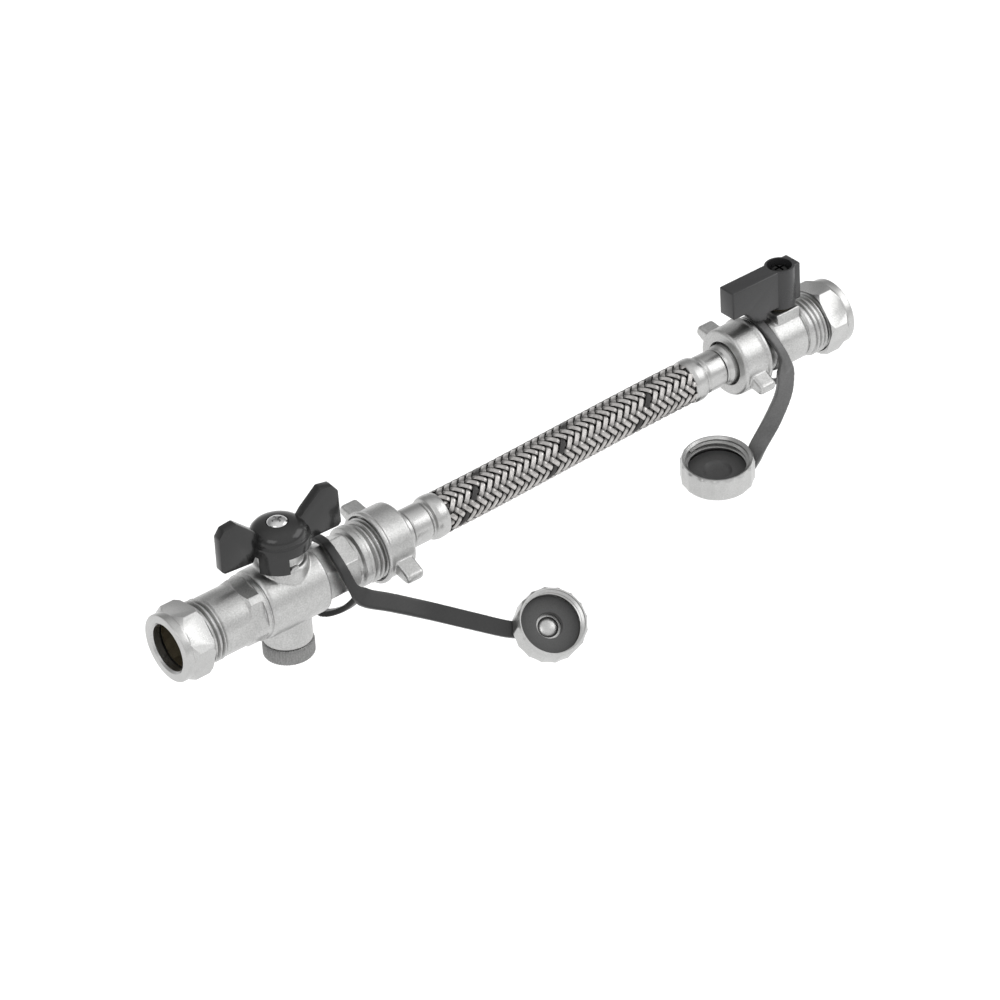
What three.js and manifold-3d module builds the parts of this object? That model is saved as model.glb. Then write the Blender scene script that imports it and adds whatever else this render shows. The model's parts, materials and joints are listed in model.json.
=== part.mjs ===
// A straight filling loop for a sealed heating system: a double check valve with a quarter-turn ball valve,
// a stainless braided hose with a wing nut at each end, a second isolating valve, and two blanking caps on straps.
// Millimetres. +X runs along the pipe axis from the open face of the near nut, -Y faces the user, +Z is up.
import * as THREE from "three";
import { mergeVertices } from "three/addons/utils/BufferGeometryUtils.js";
import Module from "manifold-3d";

const wasm = await Module();
wasm.setup();

// Fits and clearances
const runGap = 0.3; // clearance between pieces that move past or are cut by each other
const threadClearance = 0.3; // radial room between an outer thread and its nut
const boreFit = 0.15; // radial room round the copper pipe
const turnSegments = 24;
const smallSegments = 16;
const innerSegments = 10;

// Standard sizes
const pipeR = 7.5; // 15 mm copper pipe
const threadR = 10.48; // G1/2 outer thread
const socketR = pipeR + boreFit;
const nutCavityR = threadR + threadClearance;

// Compression nut
const nutLength = 10.5;
const nutAcrossFlats = 22;
const nutCornerR = 12.4;
const nutCollarR = 11.35;
const nutCollarLength = 2.5;
const nutChamfer = 1.4;
const nutMouthLength = 3;
const nutConeLength = 1.7;
const nutTurn = 40; // degrees from -Y towards +Z to the middle of a flat

// Olive
const oliveLength = 4.8;
const oliveWall = 1.1;
const oliveStart = 3.7;

// Pipe socket, the same at both ends
const mouthStart = 6.1; // from the outer face of the compression nut
const mouthConeLength = 3.6;
const mouthR = 9.5;
const mouthRim = 0.3;
const socketDepth = 14.5;

// Inlet connector
const nearThreadLength = 9.7;
const inletBarrelR = 10.2;
const inletHexStart = 25.2;
const inletHexLength = 6;
const inletHexFlats = 21.4;
const inletHexTurn = 17; // degrees from -Y towards +Z to the middle of a flat
const inletHexCrown = 0.9; // length of the turned bevel at each end of the hexagon
const inletNeckR = 10.6;

// Check valve cartridges
const checkR = 6.3;
const checkLength = 11.6;
const checkWall = 1;
const checkSeatR = 3.6;
const checkRim = 1.6;
const checkGuide = 1.4;
const poppetR = 4.5;
const poppetThickness = 1.2;
const poppetStemR = 0.9;
const springWireR = 0.35;
const springCoilR = 2.2;
const springTurns = 3.5;

// Near valve body
const bodyStart = 32.9;
const bodyLength = 22.7;
const bodyR = 11.5;
const bodyEdge = 0.9;
const bodyBoreR = 8.7;
const stemX = 44.9;
const bossR = 8.8;
const bossTop = 12.2;
const neckR = 6.2;
const neckTop = 17.5;
const stopInnerR = 5.6;
const stopOuterR = 10;
const branchR = 8;
const branchBottom = -17.7;
const branchBoreR = 5.6;

// Drain plug under the branch
const plugRimR = 8.35;
const plugBottom = -23.5;
const plugSpigotTop = -12;
const plugSides = 40;

// Ball and seats
const nearBallR = 7.9;
const farBallR = 7.1;
const portR = 5;
const seatLength = 3.4;
const farSeatLength = 2.4;
const seatPortR = 5.2;
const slotHalf = 1.3;
const slotDepth = 2.7;

// Stem, the same in both valves apart from its length
const stemR = 3.7;
const stemFlangeR = 4.4;
const stemFlangeHeight = 1.5;
const stemGrooveR = 2.6;
const oringWireR = 0.5;
const squareSide = 4.7;
const tangHalf = 1;
const screwShankR = 1.6;
const screwHeadR = 3.4;
const screwHeadHeight = 1.9;

// Wing handle of the near valve
const wingTurn = -4.5; // degrees about +Z from lying along the pipe
const wingTravel = 90; // degrees from open to closed
const stopFreeTurn = 2; // degrees of free turn before a stop
const stopWidth = 20; // degrees that a stop post takes up
const wingSpan = 21.8;
const wingThickness = 3;
const wingBottom = 17.8;
const wingTop = 33.2;
const hubSkirtR = 10.2;
const hubSkirtTop = 20.6;
const hubShoulderR = 8.3;
const hubTopR = 7.7;
const hubTop = 26.2;
const tabStart = 190;
const tabEnd = 252;
const tabBottom = 12.5;
const tabInnerR = 7;

// Outlet connector of the near valve
const spigotLength = 2.7;
const spigotR = bodyBoreR - runGap;
const outletHexLength = 13.6;
const outletHexFlats = 17;
const outletHexTurn = 0;
const outletHexCornerR = 9.7;
const flareR = 10.2;
const flareLength = 1.4;
const grooveR = 9.2;
const grooveLength = 1.5;
const outletThreadLength = 10;

// Wing nuts
const wingNutLength = 11;
const wingNutR = 11.6;
const wingNutLipR = 12.2;
const wingNutLip = 1.5;
const wingNutWall = 2.4;
const wingNutHoleR = 7.2;
const earTipR = 16.9;
const earWidth = 5;
const earTipWidth = 4.2;
const earLength = 6.6;
const earTurn = -17; // degrees from -Y towards +Z

// Hose assembly
const washerLength = 1.7;
const washerR = 9.6;
const tailFlangeR = 9.6;
const tailFlange = 1.6;
const tailShankR = 6.3;
const tailShankLength = 4;
const tailSpigotR = 4.4;
const tailBoreR = 3.6;
const tailSpigotLength = 13;
const tailBarbs = 2;
const ferruleSleeve = 7.4;
const ferruleSleeveR = 6.5;
const ferruleBead = 5.6;
const ferruleBeadR = 7.4;
const ferruleNeck = 0.9;
const ferruleBoreR = 5.75;
const linerR = 5.45;
const linerBoreR = 4.7;
const hoseLength = 102.3;
const hoseRise = 2.6; // how much higher the far end lies than the near one
const braidR = 7.12;
const braidRelief = 0.62;
const braidBoreR = 5.75;
const braidLead = 36.6;
const braidBundles = 12; // wire bundles each way round
const hoseBoreRows = 8;

// Far valve
const farNeckR = 8.6;
const farNeckLength = 4;
const farThreadLength = 5.8;
const farBodyR = 9.7;
const farBodyLength = 12.8;
const farCavityR = 7.8;
const farWeb = 2.3; // wall between the ball housing and the pipe socket
const farStemFromBody = 8.6;
const farBossHalfX = 5.8;
const farBossHalfY = 5.2;
const farBossTop = 12.2;
const farGroove = 1.3;
const farPipeThreadLength = 11.2;

// Lever of the far valve, its bar with a lobe that passes beside the boss and above the threads
const leverReach = 23.3;
const leverTail = 6.2;
const leverHalfWidth = 3.5;
const leverTop = 27.5;
const leverBottom = 17.7;
const leverHubR = 5.1;
const leverRecessR = 4.3;
const leverRecessDepth = 3;
const leverEdge = 0.8;
const leverWaist = 13.6; // underside between the lobe and the hub
const leverLobeLength = 5.8;
const leverLobeGap = 1; // height of the lobe above the thread crests
const leverLobeSlope = 3.8; // how far the lobe's outer side leans out

// Blanking caps and their straps
const nearCapR = 11.5;
const farCapR = 12.5;
const capHeight = 9;
const capWall = 1.9;
const capFlutes = 16;
const capFluteR = 6;
const capFluteDepth = 0.35;
const capRim = 0.25;
const capWasherThickness = 1.5;
const capWasherHoleR = 4.2;
const capStudR = 2;
const capStudHeadR = 3.2;
const strapThickness = 2;
const strapEndR = 5.4;
const nearStrapWidth = 7;
const farStrapWidth = 5.8;
const loopWidth = 3.2;
const loopThickness = 2;

// Stations along the pipe axis, worked out from the sizes above
const inletHexEnd = inletHexStart + inletHexLength;
const bodyEnd = bodyStart + bodyLength;
const outletHexEnd = bodyEnd + outletHexLength;
const outletThreadStart = outletHexEnd + flareLength + grooveLength;
const outletEnd = outletThreadStart + outletThreadLength;
const nearWasherStart = outletEnd + runGap;
const nearFlangeStart = nearWasherStart + washerLength + runGap;
const nearFlangeEnd = nearFlangeStart + tailFlange;
const nearWingNutEnd = nearFlangeEnd + runGap + wingNutWall;
const nearShankEnd = nearFlangeEnd + wingNutWall + tailShankLength - runGap;
const nearFerruleEnd = nearShankEnd + runGap + ferruleSleeve + ferruleNeck + ferruleBead;
const hoseStart = nearFerruleEnd + runGap;
const hoseEnd = hoseStart + hoseLength;
const hosePitch = hoseEnd + hoseStart; // mirror about the middle of the hose: x becomes hosePitch - x
const farFaceX = hosePitch - outletEnd; // end face of the far valve's hose thread
const farNeckStart = farFaceX + farThreadLength;
const farBodyStart = farNeckStart + farNeckLength;
const farBodyEnd = farBodyStart + farBodyLength;
const farStemX = farBodyStart + farStemFromBody;
const farPipeThreadStart = farBodyEnd + farGroove;
const farMouthX = farPipeThreadStart + farPipeThreadLength;
const totalLength = farMouthX + mouthStart;

// Solids: three.js shapes them, manifold-3d joins and cuts them
function solid(geometry) {
  const bare = new THREE.BufferGeometry();
  bare.setAttribute("position", geometry.getAttribute("position"));
  bare.setIndex(geometry.getIndex());
  const merged = mergeVertices(bare, 1e-4);
  const vertProperties = new Float32Array(merged.attributes.position.array);
  const triVerts = new Uint32Array(merged.index.array);
  const made = new wasm.Manifold(new wasm.Mesh({ numProp: 3, vertProperties, triVerts }));
  if (made.volume() >= 0) return made;
  for (let i = 0; i < triVerts.length; i += 3) {
    [triVerts[i + 1], triVerts[i + 2]] = [triVerts[i + 2], triVerts[i + 1]];
  }
  return new wasm.Manifold(new wasm.Mesh({ numProp: 3, vertProperties, triVerts }));
}

function join(first, ...others) {
  return others.reduce((sum, other) => sum.add(other), first);
}

function cut(first, ...others) {
  return others.reduce((rest, other) => rest.subtract(other), first);
}

// A closed profile of [height, radius] points, turned about +Z
function turnedZ(profile, segments = turnSegments) {
  const points = profile.map(([z, r]) => new THREE.Vector2(r, z));
  points.push(points[0].clone());
  const geometry = new THREE.LatheGeometry(points, segments);
  return solid(geometry.rotateX(Math.PI / 2));
}

// A closed profile of [x, radius] points, turned about +X
function turnedX(profile, segments = turnSegments) {
  const points = profile.map(([x, r]) => new THREE.Vector2(r, x));
  points.push(points[0].clone());
  const geometry = new THREE.LatheGeometry(points, segments);
  return solid(geometry.rotateZ(-Math.PI / 2));
}

function rodX(x0, x1, r, segments = smallSegments) {
  const geometry = new THREE.CylinderGeometry(r, r, x1 - x0, segments);
  return solid(geometry.rotateZ(-Math.PI / 2).translate((x0 + x1) / 2, 0, 0));
}

function rodZ(x, z0, z1, r, segments = smallSegments) {
  const geometry = new THREE.CylinderGeometry(r, r, z1 - z0, segments);
  return solid(geometry.rotateX(Math.PI / 2).translate(x, 0, (z0 + z1) / 2));
}

function block(x0, x1, y0, y1, z0, z1) {
  const geometry = new THREE.BoxGeometry(x1 - x0, y1 - y0, z1 - z0);
  return solid(geometry.translate((x0 + x1) / 2, (y0 + y1) / 2, (z0 + z1) / 2));
}

function ball(x, r, segments = smallSegments) {
  const geometry = new THREE.SphereGeometry(r, segments, segments / 2);
  return solid(geometry.rotateZ(-Math.PI / 2).translate(x, 0, 0));
}

// A flat outline of [u, v] points
function outline(points) {
  return new THREE.Shape(points.map(([u, v]) => new THREE.Vector2(u, v)));
}

function extruded(shape, depth, bevel = 0) {
  const options = { depth: depth - 2 * bevel, bevelEnabled: bevel > 0, curveSegments: 8 };
  if (bevel > 0) {
    Object.assign(options, { bevelThickness: bevel, bevelSize: bevel, bevelOffset: -bevel, bevelSegments: 1 });
  }
  return new THREE.ExtrudeGeometry(shape, options).translate(0, 0, bevel);
}

// A hexagonal bar along +X; turn is in degrees from -Y towards +Z to the middle of a flat
function hexBar(x0, x1, acrossFlats, turn) {
  const cornerR = acrossFlats / Math.sqrt(3);
  const corners = [0, 1, 2, 3, 4, 5].map((i) => {
    const angle = THREE.MathUtils.degToRad(turn + 30 + 60 * i);
    return [-Math.cos(angle) * cornerR, Math.sin(angle) * cornerR];
  });
  const geometry = extruded(outline(corners), x1 - x0);
  // The outline's u is +Y and its v is +Z once the extrusion points along +X
  geometry.applyMatrix4(new THREE.Matrix4().makeBasis(
    new THREE.Vector3(0, 1, 0), new THREE.Vector3(0, 0, 1), new THREE.Vector3(1, 0, 0)));
  return solid(geometry.translate(x0, 0, 0));
}

// A helical wire about +X
function coil(x0, x1, coilR, wireR, turns) {
  const stepsPerTurn = 8;
  const points = [];
  for (let i = 0; i <= turns * stepsPerTurn; i += 1) {
    const angle = (2 * Math.PI * i) / stepsPerTurn;
    const x = x0 + ((x1 - x0) * i) / (turns * stepsPerTurn);
    points.push(new THREE.Vector3(x, coilR * Math.cos(angle), coilR * Math.sin(angle)));
  }
  return sweep(points, roundSection(wireR, 4), points.length - 1, false);
}

function roundSection(r, sides) {
  const points = [];
  for (let i = 0; i < sides; i += 1) {
    const angle = (2 * Math.PI * i) / sides;
    points.push([r * Math.cos(angle), r * Math.sin(angle)]);
  }
  return outline(points);
}

function sweep(points, section, steps, closed) {
  const path = new THREE.CatmullRomCurve3(points, closed);
  return solid(new THREE.ExtrudeGeometry(section, { steps, extrudePath: path, bevelEnabled: false }));
}

// A flat strap of varying width: its path, and at each point the width's direction and half width.
// The section is a rectangle; the strap's two ends are closed.
function ribbon(path, across, widthAt, thickness, steps, closed) {
  const positions = [];
  const index = [];
  const rings = closed ? steps : steps + 1;
  for (let i = 0; i < rings; i += 1) {
    const t = i / steps;
    const point = path.getPointAt(t);
    const tangent = path.getTangentAt(t);
    const side = across(t).clone().addScaledVector(tangent, -across(t).dot(tangent)).normalize();
    const normal = new THREE.Vector3().crossVectors(tangent, side);
    const half = widthAt(t) / 2;
    [[-1, -1], [1, -1], [1, 1], [-1, 1]].forEach(([u, v]) => {
      const corner = point.clone().addScaledVector(side, u * half).addScaledVector(normal, (v * thickness) / 2);
      positions.push(corner.x, corner.y, corner.z);
    });
  }
  for (let i = 0; i < steps; i += 1) {
    const a = i * 4;
    const b = ((i + 1) % rings) * 4;
    for (let k = 0; k < 4; k += 1) {
      const n = (k + 1) % 4;
      index.push(a + k, a + n, b + n, a + k, b + n, b + k);
    }
  }
  if (!closed) {
    const e = steps * 4;
    index.push(0, 2, 1, 0, 3, 2, e, e + 1, e + 2, e, e + 2, e + 3);
  }
  const geometry = new THREE.BufferGeometry();
  geometry.setAttribute("position", new THREE.Float32BufferAttribute(positions, 3));
  geometry.setIndex(index);
  return solid(geometry);
}

// A solid moved by a matrix
function placed(made, matrix) {
  return made.transform(matrix.elements);
}

function mirroredAlongHose(made) {
  const matrix = new THREE.Matrix4().makeScale(-1, 1, 1);
  matrix.setPosition(hosePitch, 0, 0);
  return placed(made, matrix);
}

// Materials
function finish(color, roughness, metalness) {
  return new THREE.MeshStandardMaterial({ color, roughness, metalness });
}
const satinNickel = finish(0xb9b9b6, 0.38, 1);
const turnedNickel = finish(0xc8c8c5, 0.24, 1);
const brass = finish(0xb99a5a, 0.3, 1);
const steel = finish(0xc2c2c4, 0.22, 1);
const stainlessBraid = finish(0xb5aca6, 0.32, 1);
const glossBlack = finish(0x1a1a1b, 0.32, 0);
const mattBlack = finish(0x222223, 0.55, 0);
const rubber = finish(0x161616, 0.8, 0);
const ptfe = finish(0xf0efe9, 0.5, 0);
const acetal = finish(0xe9e6da, 0.45, 0);

const root = new THREE.Group();
const farEnd = new THREE.Group();
farEnd.position.z = hoseRise;
root.add(farEnd);

function addTo(group, name, made, material) {
  const mesh = made.getMesh();
  const positions = new Float32Array(mesh.numVert * 3);
  for (let i = 0; i < mesh.numVert; i += 1) {
    positions.set(mesh.vertProperties.subarray(i * mesh.numProp, i * mesh.numProp + 3), i * 3);
  }
  const geometry = new THREE.BufferGeometry();
  geometry.setAttribute("position", new THREE.BufferAttribute(positions, 3));
  geometry.setIndex(new THREE.BufferAttribute(new Uint32Array(mesh.triVerts), 1));
  geometry.computeVertexNormals();
  const node = new THREE.Mesh(geometry, material);
  node.name = name;
  group.add(node);
}

// Compression nut, its open face at x = 0 and the thread towards +X
function compressionNut() {
  const backStart = nutLength - nutChamfer;
  const envelope = turnedX([
    [0, 0], [0, nutCollarR - 0.5], [0.5, nutCollarR], [nutCollarLength - 0.4, nutCollarR],
    [nutCollarLength + nutChamfer, nutCornerR], [backStart, nutCornerR], [nutLength, nutCavityR + 0.5], [nutLength, 0],
  ]);
  const collar = rodX(0, nutCollarLength, nutCollarR + 0.01, turnSegments);
  const hexagon = hexBar(0, nutLength, nutAcrossFlats, nutTurn);
  const outside = join(hexagon, collar).intersect(envelope);
  const inside = turnedX([
    [-1, 0], [-1, socketR + 0.6], [0, socketR + 0.6], [0.6, socketR + boreFit], [nutMouthLength, socketR + boreFit],
    [nutMouthLength + nutConeLength, nutCavityR - 0.9], [nutMouthLength + nutConeLength + 0.2, nutCavityR],
    [nutLength + 1, nutCavityR], [nutLength + 1, 0],
  ]);
  return cut(outside, inside);
}

function olive() {
  const end = oliveStart + oliveLength;
  const crest = socketR + oliveWall;
  return turnedX([
    [oliveStart, socketR], [oliveStart, socketR + 0.25], [oliveStart + 1.5, crest],
    [end - 1.8, crest], [end, socketR + 0.25], [end, socketR],
  ], smallSegments);
}

const socketBottom = mouthStart + socketDepth;

// Inlet connector: pipe socket, barrel, hexagon and the spigot that screws into the body
function inletConnector() {
  const threadEnd = mouthStart + nearThreadLength;
  const spigotEnd = stemX - nearBallR - runGap;
  const turned = turnedX([
    [mouthStart, mouthR], [mouthStart, threadR - mouthRim], [mouthStart + mouthRim, threadR],
    [threadEnd, threadR], [threadEnd, inletBarrelR],
    [inletHexStart, inletBarrelR], [inletHexStart, inletBarrelR - 3], [inletHexEnd, inletNeckR - 3],
    [inletHexEnd, inletNeckR], [bodyStart, inletNeckR], [bodyStart, spigotR], [spigotEnd, spigotR],
    [spigotEnd, seatPortR], [bodyStart + runGap * 2, seatPortR],
    [bodyStart + runGap * 2, checkR + runGap], [socketBottom, checkR + runGap],
    [socketBottom, socketR], [mouthStart + mouthConeLength, socketR],
  ]);
  const crown = turnedX([
    [inletHexStart, inletBarrelR - 3], [inletHexStart, inletBarrelR + 0.3], [inletHexStart + inletHexCrown, bodyR],
    [inletHexEnd - inletHexCrown, bodyR], [inletHexEnd, inletNeckR + 0.2], [inletHexEnd, inletNeckR - 3],
  ]);
  const hexagon = hexBar(inletHexStart, inletHexEnd, inletHexFlats, inletHexTurn).intersect(crown);
  return join(turned, hexagon);
}

// Check cartridge, its inlet at x0; water pushes the poppet towards +X
function checkHousing(x0) {
  const end = x0 + checkLength;
  const shell = turnedX([
    [x0, checkSeatR], [x0, checkR - 0.4], [x0 + 0.4, checkR], [end, checkR], [end, poppetStemR + runGap],
    [end - checkGuide, poppetStemR + runGap], [end - checkGuide, checkR - checkWall],
    [x0 + checkRim, checkR - checkWall],
  ], innerSegments);
  const flowHoleR = 1.35;
  const flowHoleAt = 3.4;
  const holes = [0, 1, 2, 3].map((i) => {
    const angle = (Math.PI / 2) * i;
    const offset = new THREE.Matrix4().makeTranslation(0, flowHoleAt * Math.cos(angle), flowHoleAt * Math.sin(angle));
    return placed(rodX(end - checkGuide - 1, end + 1, flowHoleR, 6), offset);
  });
  return cut(shell, ...holes);
}

function checkPoppet(x0) {
  const face = x0 + checkRim + runGap;
  return turnedX([
    [face - 1, 0], [face - 1, checkSeatR - 1.2], [face, checkSeatR - runGap], [face, poppetR],
    [face + poppetThickness, poppetR], [face + poppetThickness, poppetStemR],
    [x0 + checkLength + 0.5, poppetStemR], [x0 + checkLength + 0.5, 0],
  ], innerSegments);
}

function checkSpring(x0) {
  const start = x0 + checkRim + runGap + poppetThickness + runGap + springWireR;
  const end = x0 + checkLength - checkGuide - runGap - springWireR;
  return coil(start, end, springCoilR, springWireR, springTurns);
}

// A sector between two angles about the stem, in degrees from +X towards +Y
function sector(x, z0, z1, innerR, outerR, fromDeg, toDeg) {
  const shape = new THREE.Shape();
  const from = THREE.MathUtils.degToRad(fromDeg);
  const to = THREE.MathUtils.degToRad(toDeg);
  shape.absarc(0, 0, outerR, from, to, false);
  shape.absarc(0, 0, innerR, to, from, true);
  shape.closePath();
  return solid(extruded(shape, z1 - z0).translate(x, 0, z0));
}

// Near valve body: barrel, stem boss with its neck and stop posts, and the branch below
function valveBody() {
  const barrel = turnedX([
    [bodyStart, 0], [bodyStart, bodyR - bodyEdge], [bodyStart + bodyEdge * 0.3, bodyR - bodyEdge * 0.3],
    [bodyStart + bodyEdge, bodyR], [bodyEnd - bodyEdge, bodyR], [bodyEnd - bodyEdge * 0.3, bodyR - bodyEdge * 0.3],
    [bodyEnd, bodyR - bodyEdge], [bodyEnd, 0],
  ]);
  const boss = rodZ(stemX, 0, bossTop, bossR, turnSegments);
  const neck = rodZ(stemX, 0, neckTop, neckR);
  const openStart = tabEnd - wingTurn + stopFreeTurn;
  const closedEnd = tabStart - wingTurn - wingTravel - stopFreeTurn;
  const openStop = sector(stemX, bossTop - 1, neckTop, stopInnerR, stopOuterR, openStart, openStart + stopWidth);
  const closedStop = sector(stemX, bossTop - 1, neckTop, stopInnerR, stopOuterR, closedEnd - stopWidth, closedEnd);
  const branch = turnedZ([
    [branchBottom, 0], [branchBottom, branchR - 0.4], [branchBottom + 0.4, branchR], [0, branchR], [0, 0],
  ]).translate([stemX, 0, 0]);
  const outside = join(barrel, boss, neck, openStop, closedStop, branch);
  const through = rodX(bodyStart - 1, bodyEnd + 1, bodyBoreR, turnSegments);
  const stemBore = rodZ(stemX, 0, neckTop + 1, stemR + runGap);
  const flangeBore = rodZ(stemX, 0, nearBallR + runGap + stemFlangeHeight + runGap, stemFlangeR + runGap);
  const branchBore = rodZ(stemX, branchBottom - 1, 0, branchBoreR);
  return cut(outside, through, stemBore, flangeBore, branchBore);
}

// Knurled plug that closes the branch
function drainPlug() {
  const rimTop = branchBottom - runGap;
  const spigot = branchBoreR - runGap;
  const blank = turnedZ([
    [plugBottom, 0], [plugBottom, plugRimR - 1], [plugBottom + 0.6, plugRimR], [rimTop - 0.4, plugRimR],
    [rimTop, plugRimR - 0.4], [rimTop, spigot], [plugSpigotTop, spigot], [plugSpigotTop, 0],
  ], plugSides);
  return blank.translate([stemX, 0, 0]);
}

// Ball of a valve, bored along the pipe, with the stem's slot across its top
function portBall(x, r) {
  const sphere = ball(x, r);
  const port = rodX(x - r - 1, x + r + 1, portR);
  const slot = block(x - slotHalf, x + slotHalf, -r, r, r - slotDepth, r + 1);
  return cut(sphere, port, slot);
}

// Soft seat ring on the inlet side of a ball; towards is -1 or +1 along X
function seatRing(x, ballR, outerR, length, towards) {
  const hollowR = ballR + runGap;
  const far = ballR;
  const near = far - length;
  const profile = [[far, seatPortR], [far, outerR], [near, outerR]];
  const steps = 2;
  const first = Math.sqrt(hollowR * hollowR - near * near);
  for (let i = 0; i <= steps; i += 1) {
    const r = first + ((seatPortR - first) * i) / steps;
    profile.push([Math.sqrt(hollowR * hollowR - r * r), r]);
  }
  return turnedX(profile.map(([offset, r]) => [x + towards * offset, r]), innerSegments);
}

// Stem with tang, flange, seal groove and square; grooveZ is the middle of its O-ring
function stem(x, ballR, grooveZ, shoulderZ, squareTop) {
  const flangeBottom = ballR + runGap;
  const turned = turnedZ([
    [flangeBottom, 0], [flangeBottom, stemFlangeR], [flangeBottom + stemFlangeHeight, stemFlangeR],
    [flangeBottom + stemFlangeHeight, stemR], [grooveZ - 0.95, stemR], [grooveZ - 0.95, stemGrooveR],
    [grooveZ + 0.95, stemGrooveR], [grooveZ + 0.95, stemR], [shoulderZ, stemR], [shoulderZ, 0],
  ], innerSegments).translate([x, 0, 0]);
  const tang = block(x - tangHalf, x + tangHalf, -3.3, 3.3, ballR - slotDepth + runGap, flangeBottom + 0.5);
  const half = squareSide / 2;
  const square = block(x - half, x + half, -half, half, shoulderZ - 0.5, squareTop);
  const tapped = rodZ(x, shoulderZ - 1, squareTop + 1, screwShankR + runGap, 10);
  return cut(join(turned, tang, square), tapped);
}

function stemOring(x, z) {
  const middleR = stemGrooveR + oringWireR + 0.12;
  const geometry = new THREE.TorusGeometry(middleR, oringWireR, 6, innerSegments);
  return solid(geometry.translate(x, 0, z));
}

// Screw that holds a handle on its stem: pan head with a cross recess
function handleScrew(x, headBottom, shankBottom) {
  const headTop = headBottom + screwHeadHeight;
  const blank = turnedZ([
    [shankBottom, 0], [shankBottom, screwShankR], [headBottom, screwShankR], [headBottom, screwHeadR],
    [headBottom + screwHeadHeight * 0.45, screwHeadR], [headTop, screwHeadR * 0.6], [headTop, 0],
  ], smallSegments).translate([x, 0, 0]);
  const long = screwHeadR * 0.6;
  const bladeA = block(x - long, x + long, -0.45, 0.45, headTop - 1.1, headTop + 1);
  const bladeB = block(x - 0.45, x + 0.45, -long, long, headTop - 1.1, headTop + 1);
  return cut(blank, bladeA, bladeB);
}

const nearSquareTop = 23.4;
const nearHandleFloor = 25.2; // seat of the screw head in the hub's top
function wingHandle() {
  const hub = turnedZ([
    [wingBottom, 0], [wingBottom, hubSkirtR], [hubSkirtTop, hubSkirtR], [hubSkirtTop + 2.6, hubShoulderR],
    [hubTop - 0.6, hubTopR], [hubTop, hubTopR - 0.7], [hubTop, 0],
  ]);
  const wingShape = outline([
    [0, wingBottom], [wingSpan - 2, wingBottom], [wingSpan, wingBottom + 2], [wingSpan, wingTop - 3.2],
    [wingSpan - 2.2, wingTop], [wingSpan - 7, wingTop], [hubTopR + 0.8, hubTop + 1.4], [hubTopR - 0.5, hubTop - 0.2],
    [0, hubTop - 0.2],
  ]);
  const blade = solid(extruded(wingShape, wingThickness, 0.5).translate(0, 0, -wingThickness / 2).rotateX(Math.PI / 2));
  const otherBlade = placed(blade, new THREE.Matrix4().makeRotationZ(Math.PI));
  const tab = sector(0, tabBottom, wingBottom + 1, tabInnerR, hubSkirtR, tabStart - wingTurn, tabEnd - wingTurn);
  const half = squareSide / 2 + 0.25;
  const square = block(-half, half, -half, half, wingBottom - 1, nearSquareTop + runGap);
  const skirtHollow = rodZ(0, wingBottom - 1, wingBottom + 1.6, neckR + 1);
  const screwHole = rodZ(0, wingBottom, hubTop + 1, screwShankR + runGap, 10);
  const headRecess = rodZ(0, nearHandleFloor, hubTop + 1, screwHeadR + 0.5, 24);
  const handle = cut(join(hub, blade, otherBlade, tab), square, skirtHollow, screwHole, headRecess);
  const turn = new THREE.Matrix4().makeRotationZ(THREE.MathUtils.degToRad(wingTurn)).setPosition(stemX, 0, 0);
  return placed(handle, turn);
}

// Outlet connector: spigot in the body, hexagon with the second check valve inside, and the hose thread
const outletCheckX = bodyEnd + 1.8;
function outletConnector() {
  const start = bodyEnd - spigotLength;
  const flareStart = outletHexEnd;
  const grooveStart = flareStart + flareLength;
  const turned = turnedX([
    [start, seatPortR], [start, spigotR], [bodyEnd, spigotR], [bodyEnd, spigotR - 0.2],
    [flareStart - 1.4, spigotR - 0.2], [flareStart - 1.2, spigotR + 0.9], [flareStart, flareR],
    [grooveStart, flareR], [grooveStart, grooveR], [outletThreadStart, grooveR],
    [outletThreadStart + mouthRim, threadR], [outletEnd - mouthRim, threadR], [outletEnd, threadR - mouthRim],
    [outletEnd, checkR + runGap], [outletCheckX - runGap, checkR + runGap], [outletCheckX - runGap, seatPortR],
  ]);
  const crown = turnedX([
    [bodyEnd, spigotR - 1], [bodyEnd, outletHexCornerR], [flareStart - 0.4, outletHexCornerR],
    [flareStart - 0.4, spigotR - 1],
  ]);
  const hexagon = hexBar(bodyEnd, flareStart - 0.4, outletHexFlats, outletHexTurn).intersect(crown);
  return join(turned, hexagon);
}

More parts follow.
